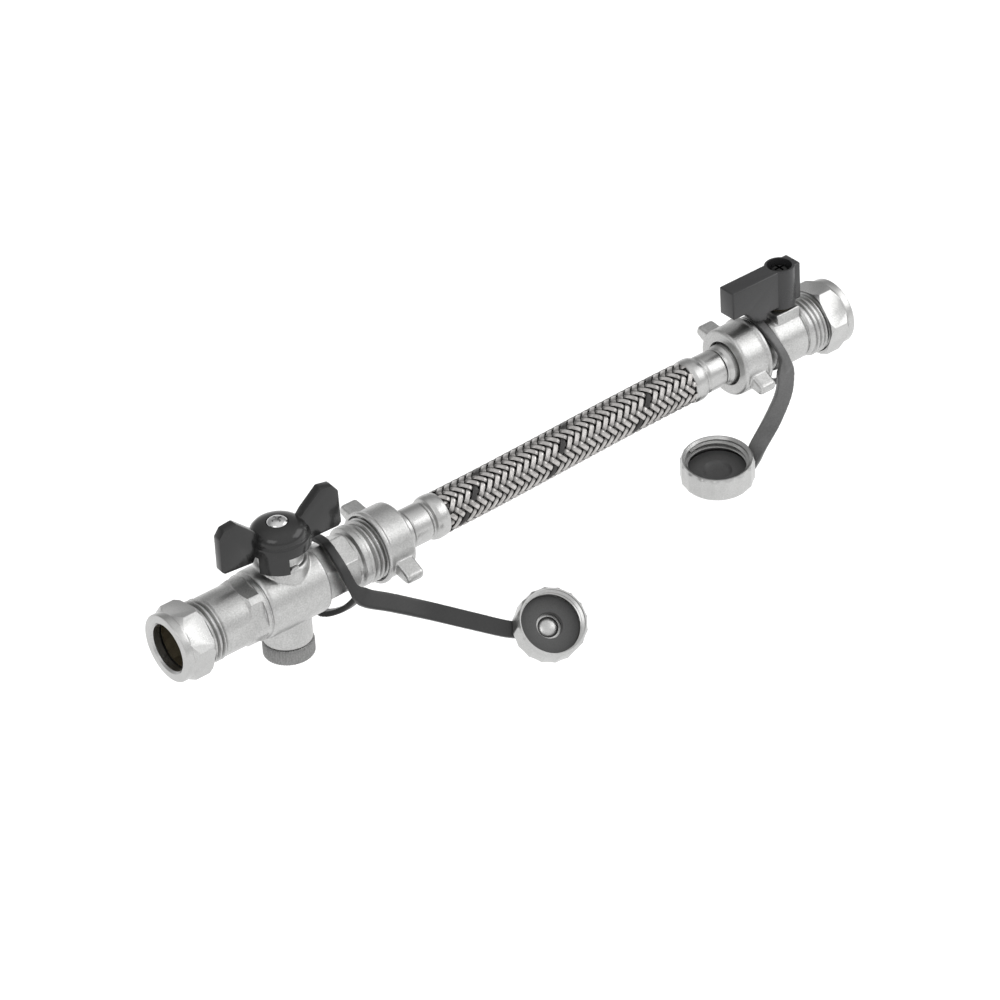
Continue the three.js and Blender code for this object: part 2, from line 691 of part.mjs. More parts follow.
// Wing nut, threaded end towards -X at x0, hose end at x0 + wingNutLength
function wingNut(x0) {
  const end = x0 + wingNutLength;
  const barrel = turnedX([
    [x0, nutCavityR], [x0, wingNutLipR - 0.3], [x0 + 0.3, wingNutLipR], [x0 + wingNutLip, wingNutLipR],
    [x0 + wingNutLip + 0.5, wingNutR], [end - 1, wingNutR], [end - 0.3, wingNutR - 0.3], [end, wingNutR - 1],
    [end, wingNutHoleR], [end - wingNutWall, wingNutHoleR], [end - wingNutWall, nutCavityR],
  ]);
  const middle = x0 + wingNutLength / 2 + 0.3;
  const root0 = nutCavityR + 0.4;
  const earShape = outline([
    [root0, -earWidth / 2], [earTipR - 0.8, -earTipWidth / 2], [earTipR, -earTipWidth / 2 + 0.8],
    [earTipR, earTipWidth / 2 - 0.8], [earTipR - 0.8, earTipWidth / 2], [root0, earWidth / 2],
  ]);
  const ear = solid(extruded(earShape, earLength, 0.6).translate(0, 0, -earLength / 2));
  // The outline's u points outwards along -Y turned by earTurn, the extrusion along +X
  const ears = [0, 180].map((extra) => {
    const angle = THREE.MathUtils.degToRad(earTurn + extra);
    const out = new THREE.Vector3(0, -Math.cos(angle), Math.sin(angle));
    const along = new THREE.Vector3(1, 0, 0);
    const side = new THREE.Vector3().crossVectors(along, out);
    return placed(ear, new THREE.Matrix4().makeBasis(out, side, along).setPosition(middle, 0, 0));
  });
  return join(barrel, ...ears);
}

function sealWasher(x0) {
  return turnedX([[x0, tailBoreR + 1], [x0, washerR], [x0 + washerLength, washerR], [x0 + washerLength, tailBoreR + 1]],
    smallSegments);
}

// Hose tail: flange behind the wing nut, shank through it, barbed spigot in the hose
function hoseTail() {
  const spigotEnd = nearShankEnd + tailSpigotLength;
  const profile = [
    [nearFlangeStart, tailBoreR], [nearFlangeStart, tailFlangeR], [nearFlangeEnd, tailFlangeR],
    [nearFlangeEnd, tailShankR], [nearShankEnd, tailShankR], [nearShankEnd, tailSpigotR - 0.4],
  ];
  const pitch = tailSpigotLength / (tailBarbs + 1);
  for (let i = 1; i <= tailBarbs; i += 1) {
    const x = nearShankEnd + pitch * i;
    profile.push([x, tailSpigotR], [x + pitch * 0.7, tailSpigotR - 0.4]);
  }
  profile.push([spigotEnd, tailSpigotR - 0.4], [spigotEnd, tailBoreR]);
  return turnedX(profile, smallSegments);
}

function ferrule() {
  const start = nearShankEnd + runGap;
  const neck = start + ferruleSleeve;
  const bead = neck + ferruleNeck;
  return turnedX([
    [start, tailSpigotR + 0.3], [start, ferruleSleeveR - 0.4], [start + 0.5, ferruleSleeveR],
    [neck, ferruleSleeveR], [neck + 0.3, ferruleSleeveR - 0.35], [bead, ferruleSleeveR - 0.35],
    [bead + 0.6, ferruleBeadR], [nearFerruleEnd - 0.5, ferruleBeadR], [nearFerruleEnd, ferruleBeadR - 0.45],
    [nearFerruleEnd, ferruleBoreR], [start + 0.9, ferruleBoreR], [start + 0.9, tailSpigotR + 0.3],
  ], 24);
}

// Height of the hose's centre line: level at both ends, rising smoothly between them
function hoseCentreZ(x) {
  const t = THREE.MathUtils.clamp((x - hoseStart) / hoseLength, 0, 1);
  return hoseRise * t * t * (3 - 2 * t);
}

// A tube about the hose's centre line. outer(row, column) gives the outer radius at a vertex, and
// rising(row, column) says whether the quad from that vertex is folded along its rising diagonal.
function hoseTube(rowX, columns, outer, rising, bore) {
  const positions = [];
  const index = [];
  const ring = (x, radiusAt) => {
    for (let j = 0; j < columns; j += 1) {
      const angle = (2 * Math.PI * j) / columns;
      const r = radiusAt(j);
      positions.push(x, r * Math.cos(angle), hoseCentreZ(x) + r * Math.sin(angle));
    }
  };
  const last = rowX.length - 1;
  rowX.forEach((x, i) => ring(x, (j) => outer(i, j)));
  for (let i = 0; i < last; i += 1) {
    for (let j = 0; j < columns; j += 1) {
      const a = i * columns + j;
      const b = i * columns + ((j + 1) % columns);
      const c = b + columns;
      const d = a + columns;
      if (rising(i, j)) index.push(a, b, c, a, c, d);
      else index.push(a, b, d, b, c, d);
    }
  }
  const base = rowX.length * columns;
  for (let i = 0; i <= hoseBoreRows; i += 1) ring(rowX[0] + ((rowX[last] - rowX[0]) * i) / hoseBoreRows, () => bore);
  for (let i = 0; i < hoseBoreRows; i += 1) {
    for (let j = 0; j < columns; j += 1) {
      const a = base + i * columns + j;
      const b = base + i * columns + ((j + 1) % columns);
      index.push(a, a + columns, b, b, a + columns, b + columns);
    }
  }
  const farBase = base + hoseBoreRows * columns;
  for (let j = 0; j < columns; j += 1) {
    const next = (j + 1) % columns;
    index.push(j, base + j, next, next, base + j, base + next);
    index.push(last * columns + j, last * columns + next, farBase + j);
    index.push(last * columns + next, farBase + next, farBase + j);
  }
  const geometry = new THREE.BufferGeometry();
  geometry.setAttribute("position", new THREE.Float32BufferAttribute(positions, 3));
  geometry.setIndex(index);
  return solid(geometry);
}

function hoseLiner() {
  const start = nearShankEnd + runGap + 1.2;
  const end = hosePitch - start;
  const rows = [];
  for (let i = 0; i <= hoseBoreRows; i += 1) rows.push(start + ((end - start) * i) / hoseBoreRows);
  return hoseTube(rows, innerSegments, () => linerR, () => true, linerBoreR);
}

// Braid sleeve: two sets of wire bundles wound opposite ways, each passing over two and under two of the other.
// A vertex stands high on each crossing and low in each gap between crossings. Going round the hose, the first
// set lies on top at two crossings and the second set at the next two. The quad between two crossings is folded
// into a ridge where one bundle floats over both, and into a valley where it dives.
function hoseBraid() {
  const rowCount = 2 * Math.round((hoseLength * braidBundles) / braidLead);
  const columns = 2 * braidBundles;
  const floatPeriod = 4;
  const rows = [];
  for (let i = 0; i <= rowCount; i += 1) rows.push(hoseStart + (hoseLength * i) / rowCount);
  const isCrossing = (i, j) => (i + j) % 2 === 0;
  const outer = (i, j) => (isCrossing(i, j) ? braidR : braidR - braidRelief);
  const rising = (i, j) => (isCrossing(i, j) ? j % floatPeriod === 0 : j % floatPeriod !== floatPeriod / 2);
  return hoseTube(rows, columns, outer, rising, braidBoreR);
}

// Far valve: one forging with the hose thread, the ball housing and the pipe end, in the frame of the near axis
function farValveBody() {
  const threadEnd = farFaceX + farThreadLength;
  const pipeThreadEnd = totalLength - mouthStart;
  const cavityEnd = farStemX + farBallR + runGap;
  const socketEnd = cavityEnd + farWeb;
  const outside = turnedX([
    [farFaceX, 0], [farFaceX, threadR - mouthRim], [farFaceX + mouthRim, threadR],
    [threadEnd, threadR], [threadEnd, farNeckR], [farBodyStart, farNeckR], [farBodyStart, farBodyR - 0.6],
    [farBodyStart + 0.6, farBodyR], [farBodyEnd - 0.6, farBodyR], [farBodyEnd, farBodyR - 0.6],
    [farBodyEnd, grooveR], [farPipeThreadStart, grooveR], [farPipeThreadStart, threadR],
    [pipeThreadEnd - mouthRim, threadR], [pipeThreadEnd, threadR - mouthRim], [pipeThreadEnd, 0],
  ]);
  const boss = block(farStemX - farBossHalfX, farStemX + farBossHalfX - 1.4, -farBossHalfY, farBossHalfY, 0, farBossTop);
  const inside = turnedX([
    [farFaceX - 1, 0], [farFaceX - 1, farCavityR], [cavityEnd, farCavityR], [cavityEnd, seatPortR],
    [socketEnd, seatPortR], [socketEnd, socketR], [pipeThreadEnd - mouthConeLength, socketR],
    [pipeThreadEnd, mouthR], [pipeThreadEnd + 1, mouthR], [pipeThreadEnd + 1, 0],
  ]);
  const stemBore = rodZ(farStemX, 0, farBossTop + 1, stemR + runGap);
  const flangeBore = rodZ(farStemX, 0, farBallR + runGap + stemFlangeHeight + runGap, stemFlangeR + runGap);
  return cut(join(outside, boss), inside, stemBore, flangeBore);
}

// Seat retainer: a threaded ring with two key slots that holds the ball and seats from the hose side
function seatRetainer() {
  const start = farStemX - farBallR - runGap - 5.5;
  const end = farStemX - farBallR - runGap;
  const ring = turnedX([[start, seatPortR], [start, farCavityR - runGap], [end, farCavityR - runGap], [end, seatPortR]],
    smallSegments);
  const slots = block(start - 1, start + 1.2, -1, 1, -farCavityR, farCavityR);
  return cut(ring, slots);
}

const farSquareTop = 22;
const leverFloor = leverTop - leverRecessDepth;
const leverHubBottom = farBossTop + 2 * runGap;
function lever() {
  const lobeBottom = threadR + leverLobeGap;
  const lobeInner = -Math.hypot(farBossHalfX, farBossHalfY) - 2 * runGap;
  const lobeOuter = lobeInner - leverLobeLength + leverLobeSlope / 2;
  const profile = outline([
    [-leverReach, leverBottom], [lobeOuter - leverLobeSlope, leverBottom], [lobeOuter, lobeBottom + leverEdge],
    [lobeOuter + 1.6, lobeBottom], [lobeInner, lobeBottom], [lobeInner, leverWaist], [-leverHubR + 0.6, leverWaist],
    [-leverHubR + 1.2, leverHubBottom], [leverTail, leverHubBottom], [leverTail, leverTop], [-leverReach, leverTop],
  ]);
  const bar = solid(extruded(profile, 2 * leverHalfWidth, leverEdge)
    .translate(0, 0, -leverHalfWidth).rotateX(Math.PI / 2));
  const hub = turnedZ([
    [leverHubBottom, 0], [leverHubBottom, leverHubR], [leverTop - leverEdge, leverHubR],
    [leverTop, leverHubR - leverEdge / 2], [leverTop, 0],
  ], smallSegments);
  const half = squareSide / 2 + 0.25;
  const square = block(-half, half, -half, half, leverHubBottom - 1, farSquareTop + runGap);
  const screwHole = rodZ(0, leverHubBottom, leverTop, screwShankR + runGap, 10);
  const recess = rodZ(0, leverFloor, leverTop + 1, leverRecessR, 24);
  return cut(join(bar, hub), square, screwHole, recess).translate([farStemX, 0, 0]);
}

// Blanking cap, mouth towards +Z, the strap's rivet below its closed face at z = 0
function blankingCap(capR) {
  const blank = turnedZ([
    [0, 0], [0, capR - 1.4], [1.2, capR], [capHeight - capRim, capR], [capHeight, capR - capRim], [capHeight, 0],
  ], capFlutes * 2);
  const fluteAt = capR + capFluteR - capFluteDepth;
  const flutes = [];
  for (let i = 0; i < capFlutes; i += 1) {
    const angle = (2 * Math.PI * (i + 0.5)) / capFlutes;
    flutes.push(rodZ(0, -1, capHeight + 1, capFluteR, turnSegments)
      .translate([fluteAt * Math.cos(angle), fluteAt * Math.sin(angle), 0]));
  }
  const mouth = nutCavityR + capRim;
  const inside = turnedZ([
    [capWall, 0], [capWall, nutCavityR], [capHeight - capRim, nutCavityR], [capHeight, mouth],
    [capHeight + 1, mouth], [capHeight + 1, 0],
  ]);
  const reach = strapThickness + 2 * runGap;
  const rivet = turnedZ([
    [0.5, 0], [0.5, capStudR], [-reach, capStudR], [-reach, capStudHeadR], [-reach - 0.8, capStudHeadR - 0.4],
    [-reach - 0.8, 0],
  ], 24);
  return join(cut(blank, ...flutes, inside), rivet);
}

function capWasher() {
  const bottom = capWall + runGap;
  return turnedZ([
    [bottom, capWasherHoleR], [bottom, nutCavityR - runGap], [bottom + capWasherThickness, nutCavityR - runGap],
    [bottom + capWasherThickness, capWasherHoleR],
  ]);
}

// A cap's place: the middle of its closed face, and the way that its mouth points
function capFrame(x, y, z, mouth) {
  const up = mouth.clone().normalize();
  const turn = new THREE.Quaternion().setFromUnitVectors(new THREE.Vector3(0, 0, 1), up);
  return new THREE.Matrix4().compose(new THREE.Vector3(x, y, z), turn, new THREE.Vector3(1, 1, 1));
}
// The near cap hangs from the outlet hexagon, which starts at bodyEnd, and the far cap from the far neck
const nearCapMouth = new THREE.Vector3(-0.17, -0.63, 0.75);
const nearCapFrame = capFrame(bodyEnd + 55.8, -46.1, -23.4, nearCapMouth);
const farCapMouth = new THREE.Vector3(-0.05, -0.08, 1);
const farCapFrame = capFrame(farNeckStart - 20.9, -4.8, -39.6, farCapMouth);

// The strap's eye lies on the closed face; this is its middle, in the strap's own frame
function strapEye(frame) {
  const eye = turnedZ([
    [-runGap - strapThickness, capStudR + runGap], [-runGap - strapThickness, strapEndR],
    [-runGap, strapEndR], [-runGap, capStudR + runGap],
  ], 24);
  return placed(eye, frame);
}

// A cap's strap: a loop round the valve's neck, a flat strap, and the eye on the cap
function capStrap(loopPoints, strapPoints, acrossStart, frame, width) {
  const loop = new THREE.CatmullRomCurve3(loopPoints, true);
  const along = new THREE.Vector3(1, 0, 0);
  const loopSolid = ribbon(loop, () => along, () => loopWidth, loopThickness, 28, true);
  const normal = new THREE.Vector3(0, 0, 1).transformDirection(frame);
  const end = new THREE.Vector3(0, 0, -runGap - strapThickness / 2).applyMatrix4(frame);
  const last = strapPoints[strapPoints.length - 1];
  const inward = end.clone().sub(last).projectOnPlane(normal).normalize();
  const before = end.clone().addScaledVector(inward, -strapEndR * 0.8);
  const path = new THREE.CatmullRomCurve3([...strapPoints, before], false, "centripetal");
  const acrossEnd = new THREE.Vector3().crossVectors(normal, inward);
  const across = (t) => acrossStart.clone().lerp(acrossEnd, t).normalize();
  const strap = ribbon(path, across, (t) => width * (1.12 - 0.3 * t), strapThickness, 14, false);
  const stud = rodZ(0, -runGap - strapThickness - 1, 1, capStudR + runGap, 24);
  return join(cut(join(loopSolid, strap), placed(stud, frame)), strapEye(frame));
}

// A loose loop round a neck. Each point is [distance along the pipe from x0, degrees from +Z towards -Y,
// slack between the neck and the loop]; the loop rests on top of the neck and sags below it.
function sagging(x0, insideR, points) {
  return points.map(([along, degrees, slack]) => {
    const angle = THREE.MathUtils.degToRad(degrees);
    const r = insideR + slack + loopThickness / 2;
    return new THREE.Vector3(x0 + along, -r * Math.sin(angle), r * Math.cos(angle));
  });
}
const nearLoop = sagging(bodyEnd, outletHexCornerR, [
  [5.4, 0, 0.35], [4.8, 50.6, 0.95], [6.4, 92.2, 2.3], [8.2, 113.5, 2.8], [5.8, 148.2, 2.95],
  [3.4, 185.4, 5.2], [3, 220.6, 4.05], [4.4, 261.4, 2.65], [5.2, 309.4, 0.95],
]);
const farLoop = sagging(farNeckStart, farNeckR, [
  [2, 0, 0.35], [2.1, 45, 0.6], [3.4, 85.2, 2.45], [4.6, 112.6, 3.4], [3.8, 152.6, 3.45],
  [2.8, 193, 3.75], [2.2, 230, 3.45], [2, 270, 2.4], [2, 315, 0.6],
]);

// The flat straps from the loops to the caps, x from the same stations
function strapPath(x0, points) {
  return points.map(([along, y, z]) => new THREE.Vector3(x0 + along, y, z));
}
const nearStrapPath = strapPath(bodyEnd, [
  [8, -13, -4.6], [17.4, -16.6, -10], [28.9, -21.8, -16], [38.4, -31.5, -19.6], [45.9, -39.8, -22],
]);
const farStrapPath = strapPath(farNeckStart, [
  [4.6, -12, -4], [4.6, -10.4, -13.7], [0.6, -9, -23.5], [-4.5, -8.2, -31.5], [-6.2, -7.4, -37.9],
  [-10.6, -6.6, -41.5],
]);

// Near end
addTo(root, "near_nut", compressionNut(), turnedNickel);
addTo(root, "near_olive", olive(), brass);
addTo(root, "inlet_connector", inletConnector(), satinNickel);
const inletCheckX = bodyStart + runGap - checkLength;
addTo(root, "inlet_check_housing", checkHousing(inletCheckX), acetal);
addTo(root, "inlet_check_poppet", checkPoppet(inletCheckX), acetal);
addTo(root, "inlet_check_spring", checkSpring(inletCheckX), steel);
addTo(root, "valve_body", valveBody(), satinNickel);
addTo(root, "near_ball", portBall(stemX, nearBallR), steel);
addTo(root, "near_seat_inlet", seatRing(stemX, nearBallR, spigotR, seatLength, -1), ptfe);
addTo(root, "near_seat_outlet", seatRing(stemX, nearBallR, spigotR, seatLength, 1), ptfe);
const nearGrooveZ = 13.6;
addTo(root, "near_stem", stem(stemX, nearBallR, nearGrooveZ, neckTop, nearSquareTop), brass);
addTo(root, "near_stem_oring", stemOring(stemX, nearGrooveZ), rubber);
addTo(root, "wing_handle", wingHandle(), glossBlack);
addTo(root, "wing_handle_screw", handleScrew(stemX, nearHandleFloor + 0.02, neckTop - 0.6), steel);
addTo(root, "drain_plug", drainPlug(), satinNickel);
addTo(root, "outlet_connector", outletConnector(), satinNickel);
addTo(root, "outlet_check_housing", checkHousing(outletCheckX), acetal);
addTo(root, "outlet_check_poppet", checkPoppet(outletCheckX), acetal);
addTo(root, "outlet_check_spring", checkSpring(outletCheckX), steel);

// Near cap on its strap
const nearAcross = new THREE.Vector3(0.2, 0.5, 0.84);
addTo(root, "near_strap", capStrap(nearLoop, nearStrapPath, nearAcross, nearCapFrame, nearStrapWidth), mattBlack);
addTo(root, "near_cap", placed(blankingCap(nearCapR), nearCapFrame), turnedNickel);
addTo(root, "near_cap_washer", placed(capWasher(), nearCapFrame), rubber);

// Hose
addTo(root, "near_wing_nut", wingNut(nearWingNutEnd - wingNutLength), satinNickel);
addTo(root, "near_seal_washer", sealWasher(nearWasherStart), rubber);
addTo(root, "near_hose_tail", hoseTail(), turnedNickel);
addTo(root, "near_ferrule", ferrule(), turnedNickel);
addTo(root, "hose_liner", hoseLiner(), rubber);
addTo(root, "hose_braid", hoseBraid(), stainlessBraid);
addTo(farEnd, "far_ferrule", mirroredAlongHose(ferrule()), turnedNickel);
addTo(farEnd, "far_hose_tail", mirroredAlongHose(hoseTail()), turnedNickel);
addTo(farEnd, "far_seal_washer", mirroredAlongHose(sealWasher(nearWasherStart)), rubber);
addTo(farEnd, "far_wing_nut", mirroredAlongHose(wingNut(nearWingNutEnd - wingNutLength)), satinNickel);

// Far end
const farGrooveZ = 10.7;
addTo(farEnd, "far_valve_body", farValveBody(), satinNickel);
addTo(farEnd, "far_seat_retainer", seatRetainer(), brass);
addTo(farEnd, "far_ball", portBall(farStemX, farBallR), steel);
addTo(farEnd, "far_seat_hose", seatRing(farStemX, farBallR, farCavityR - runGap, farSeatLength, -1), ptfe);
addTo(farEnd, "far_seat_pipe", seatRing(farStemX, farBallR, farCavityR - runGap, farSeatLength, 1), ptfe);
addTo(farEnd, "far_stem", stem(farStemX, farBallR, farGrooveZ, farBossTop + 0.3, farSquareTop), brass);
addTo(farEnd, "far_stem_oring", stemOring(farStemX, farGrooveZ), rubber);
addTo(farEnd, "lever", lever(), mattBlack);
addTo(farEnd, "lever_screw", handleScrew(farStemX, leverFloor + 0.02, farBossTop + 0.5), steel);
const flip = new THREE.Matrix4().makeScale(-1, 1, 1).setPosition(totalLength, 0, 0);
addTo(farEnd, "far_nut", placed(compressionNut(), flip), turnedNickel);
addTo(farEnd, "far_olive", placed(olive(), flip), brass);
const farAcross = new THREE.Vector3(1, 0.2, 0);
addTo(farEnd, "far_strap", capStrap(farLoop, farStrapPath, farAcross, farCapFrame, farStrapWidth), mattBlack);
addTo(farEnd, "far_cap", placed(blankingCap(farCapR), farCapFrame), turnedNickel);
addTo(farEnd, "far_cap_washer", placed(capWasher(), farCapFrame), rubber);

export default root;
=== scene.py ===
# %% [markdown]
# # A straight filling loop, dressed for its photograph
# A filling loop is the short hose with a valve at each end that tops up a sealed heating system from the
# mains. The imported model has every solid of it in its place. This file adds the looks: finer meshes for the
# pieces that show, a woven braid, and materials made from nodes. Shapes are made in millimetres, because
# that is how a fitter would measure them, and become metres at the end.

import json
import math

import bmesh
import bpy
from mathutils import Matrix, Vector


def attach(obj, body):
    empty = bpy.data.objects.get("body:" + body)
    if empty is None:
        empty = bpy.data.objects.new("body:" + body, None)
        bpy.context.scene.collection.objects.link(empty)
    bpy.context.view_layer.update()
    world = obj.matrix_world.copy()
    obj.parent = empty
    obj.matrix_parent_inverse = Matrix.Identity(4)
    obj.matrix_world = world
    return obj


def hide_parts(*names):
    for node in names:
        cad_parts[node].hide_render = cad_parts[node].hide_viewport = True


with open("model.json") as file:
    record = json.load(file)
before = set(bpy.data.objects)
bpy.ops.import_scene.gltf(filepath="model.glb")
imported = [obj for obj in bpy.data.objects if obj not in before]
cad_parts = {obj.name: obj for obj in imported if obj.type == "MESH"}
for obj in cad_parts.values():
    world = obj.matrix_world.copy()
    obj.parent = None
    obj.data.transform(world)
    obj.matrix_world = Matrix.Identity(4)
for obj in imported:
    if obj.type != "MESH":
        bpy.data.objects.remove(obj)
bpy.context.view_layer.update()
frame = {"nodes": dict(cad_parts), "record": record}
print("CAD nodes:", len(frame["nodes"]))

# %% [markdown]
# ## From a bmesh to a shape
# Every shape ends the same way. Doubles are merged and the normals are made to point out. Corners sharper
# than an angle stay crisp, and the rest is shaded smooth. Four small helpers come first.

# %% Shapes from a bmesh
def mesh_from(bm, name="shape"):
    mesh = bpy.data.meshes.new(name)
    bm.to_mesh(mesh)
    bm.free()
    return mesh


def add_object(name, data):
    made = bpy.data.objects.new(name, data)
    bpy.context.scene.collection.objects.link(made)
    return made


def verts_of(result):
    return [v for v in result["geom"] if isinstance(v, bmesh.types.BMVert)]


def soften(bm, edges, size, segments=3):
    bmesh.ops.bevel(bm, geom=edges, offset=size, segments=segments, affect="EDGES", profile=0.5, material=-1)


def shape(bm, crease=32):
    """An object, still in millimetres, from a bmesh."""
    bmesh.ops.remove_doubles(bm, verts=bm.verts, dist=1e-4)
    bmesh.ops.recalc_face_normals(bm, faces=bm.faces)
    mesh = mesh_from(bm)
    mesh.shade_smooth()
    mesh.set_sharp_from_angle(angle=math.radians(crease))
    return add_object("shape", mesh)


print("Shapes can be made")

# %% [markdown]
# ## Cutting and melting together
# A milled or drilled edge is crisp, so it is cut with an exact Boolean. A casting has no such edges: its
# parts are melted into one skin by a voxel remesh and then smoothed. Both are modifiers, so a shape stays
# an object meanwhile, and the modifiers are applied at once.

# %% Booleans and melted skins
def settle(made, crease=None):
    """Applies the object's modifiers to its mesh."""
    seen = made.evaluated_get(bpy.context.evaluated_depsgraph_get())
    mesh = bpy.data.meshes.new_from_object(seen)
    made.modifiers.clear()
    made.data = mesh
    if crease:
        mesh.shade_smooth()
        mesh.set_sharp_from_angle(angle=math.radians(crease))
    return made


def combine(made, how, *tools, crease=32):
    """UNION, DIFFERENCE or INTERSECT with each tool in turn; the tools are used up."""
    for tool in tools:
        step = made.modifiers.new("combine", "BOOLEAN")
        step.operation = how
        step.solver = "EXACT"
        step.object = tool
        settle(made, crease)
        bpy.data.objects.remove(tool)
    return made


def gather(first, *others):
    """One object that holds all the meshes, not yet fused."""
    bm = bmesh.new()
    for part in (first, *others):
        bm.from_mesh(part.data)
        bpy.data.objects.remove(part)
    return add_object("shape", mesh_from(bm))


def fuse(made, voxel, passes, crease=None):
    """Melts overlapping shells into one skin, with soft fillets where they meet."""
    skin = made.modifiers.new("skin", "REMESH")
    skin.mode = "VOXEL"
    skin.voxel_size = voxel
    skin.use_smooth_shade = True
    soft = made.modifiers.new("soft", "SMOOTH")
    soft.factor = 0.5
    soft.iterations = passes
    return settle(made, crease)


print("Shapes can be cut and melted together")

# %% [markdown]
# ## Moving the mesh, not the object
# A finished piece has its origin at the part's origin, unturned and unscaled. So the mesh itself is moved,
# and where a matrix mirrors it, its faces are turned to point out again.

# %% Moves and copies
def moved(made, matrix):
    made.data.transform(matrix)
    if matrix.determinant() < 0:
        made.data.flip_normals()
    return made


def lifted(made, height):
    return moved(made, Matrix.Translation((0, 0, height)))


def copy_of(made):
    return add_object("shape", made.data.copy())


print("Shapes can be moved and copied")

# %% [markdown]
# ## Turned shapes
# Most of the fitting comes off a lathe: a profile drawn as distances along the pipe and radii, spun about
# the pipe's axis. What stands upright, such as a boss or a cap, is the same shape turned upright.

# %% Turned shapes
def turned(profile, steps=96, crease=32):
    """Spins a closed profile of (x, radius) about the X axis."""
    bm = bmesh.new()
    corners = [bm.verts.new((x, 0, r)) for x, r in profile]
    sides = [bm.edges.new(pair) for pair in zip(corners, corners[1:] + corners[:1])]
    bmesh.ops.spin(bm, geom=corners + sides, cent=(0, 0, 0), axis=(1, 0, 0), angle=2 * math.pi,
                   steps=steps, use_merge=True)
    return shape(bm, crease)


UPRIGHT = Matrix(((0, 0, -1, 0), (0, 1, 0, 0), (1, 0, 0, 0), (0, 0, 0, 1)))


def turned_up(profile, x=0, steps=96, crease=32):
    """The same about a vertical axis at x; the profile holds (z, radius)."""
    return moved(turned(profile, steps, crease), Matrix.Translation((x, 0, 0)) @ UPRIGHT)


def rounded(points, radius, steps=4):
    """A profile whose corners are cut round, so that they catch the light."""
    out = []
    count = len(points)
    for k, (x, r) in enumerate(points):
        here = Vector((x, r))
        back = Vector(points[k - 1]) - here
        ahead = Vector(points[(k + 1) % count]) - here
        if r < 1e-6 or back.length < 1e-6 or ahead.length < 1e-6:
            out.append((x, r))
            continue
        size = min(radius, back.length * 0.45, ahead.length * 0.45)
        start = here + back.normalized() * size
        end = here + ahead.normalized() * size
        for s in range(steps + 1):
            t = s / steps
            p = start * (1 - t) ** 2 + here * 2 * t * (1 - t) + end * t ** 2
            out.append((p.x, p.y))
    return out


print("The lathe is ready")

# %% [markdown]
# ## Hexagons and threads
# A hexagon is a circle of six segments, drawn out along the pipe. A thread is a spin of one ridge that also
# steps along the axis a little each time, which gives a true helix without a path.

# %% Hexagons and threads
def hexagon(x0, x1, flats, turn, ease=0.0):
    """A hexagonal bar along X with eased corners; turn is the angle from -Y up to the middle of a flat."""
    bm = bmesh.new()
    bmesh.ops.create_circle(bm, cap_ends=True, segments=6, radius=flats / math.sqrt(3))
    far = bmesh.ops.extrude_face_region(bm, geom=bm.faces[:])
    bmesh.ops.translate(bm, vec=(0, 0, x1 - x0), verts=verts_of(far))
    if ease:
        corners = [e for e in bm.edges if abs(e.verts[0].co.z - e.verts[1].co.z) > 0.1]
        soften(bm, corners, ease)
    lay = Matrix(((0, 0, 1, x0), (1, 0, 0, 0), (0, 1, 0, 0), (0, 0, 0, 1)))
    bmesh.ops.transform(bm, matrix=Matrix.Rotation(math.radians(-turn), 4, "X") @ lay, verts=bm.verts)
    return shape(bm)


PITCH = 1.814  # of a G1/2 thread, 14 to the inch


def thread(x0, x1, root, crest, steps=48):
    """A helical ridge about X, made by a spin that also steps along."""
    half = PITCH * 0.42
    bm = bmesh.new()
    ridge = [(x0, root - 0.2), (x0, root), (x0 + half * 0.8, crest), (x0 + half * 1.2, crest),
             (x0 + half * 2, root), (x0 + half * 2, root - 0.2)]
    face = bm.faces.new([bm.verts.new((x, 0, r)) for x, r in ridge])
    turns = (x1 - x0 - 2 * half) / PITCH
    count = round(turns * steps)
    bmesh.ops.spin(bm, geom=[face, *face.edges, *face.verts], cent=(0, 0, 0), axis=(1, 0, 0),
                   dvec=((x1 - x0 - 2 * half) / count, 0, 0), angle=turns * 2 * math.pi, steps=count)
    return shape(bm, 40)


print("Hexagons and threads are ready")

# %% [markdown]
# ## Rods, blocks and plates
# Bores, slots, levers and wings start from these. A plate is an upright outline, made thick across it.

# %% Rods, blocks and plates
def rod(x, y, z0, z1, r):
    """An upright rod."""
    bm = bmesh.new()
    bmesh.ops.create_cone(bm, cap_ends=True, segments=48, radius1=r, radius2=r, depth=z1 - z0,
                          matrix=Matrix.Translation((x, y, (z0 + z1) / 2)))
    return shape(bm)


def box(x0, x1, y0, y1, z0, z1, edge=0.0):
    """A block with rounded edges."""
    bm = bmesh.new()
    bmesh.ops.create_cube(bm, size=1)
    bmesh.ops.scale(bm, vec=(x1 - x0, y1 - y0, z1 - z0), verts=bm.verts)
    bmesh.ops.translate(bm, vec=((x0 + x1) / 2, (y0 + y1) / 2, (z0 + z1) / 2), verts=bm.verts)
    if edge:
        soften(bm, bm.edges[:], edge)
    return shape(bm, 30)


def plate(outline, y0, y1, edge, segments=3):
    """An outline of (x, z) points made thick along Y, with rounded rims."""
    bm = bmesh.new()
    face = bm.faces.new([bm.verts.new((x, y0, z)) for x, z in outline])
    back = bmesh.ops.extrude_face_region(bm, geom=[face])
    bmesh.ops.translate(bm, vec=(0, y1 - y0, 0), verts=verts_of(back))
    soften(bm, bm.edges[:], edge, segments)
    return shape(bm, 30)


print("Rods, blocks and plates are ready")

# %% [markdown]
# ## A node group for shared effects
# Blasted nickel, moulded plastic and rubber all have a fine grain. An effect that several materials share
# is one node group with its own inputs, so each material can use it at its own size. The group gives tones
# and heights, and the shader stays in the material. Sums inside a node tree are Math nodes.

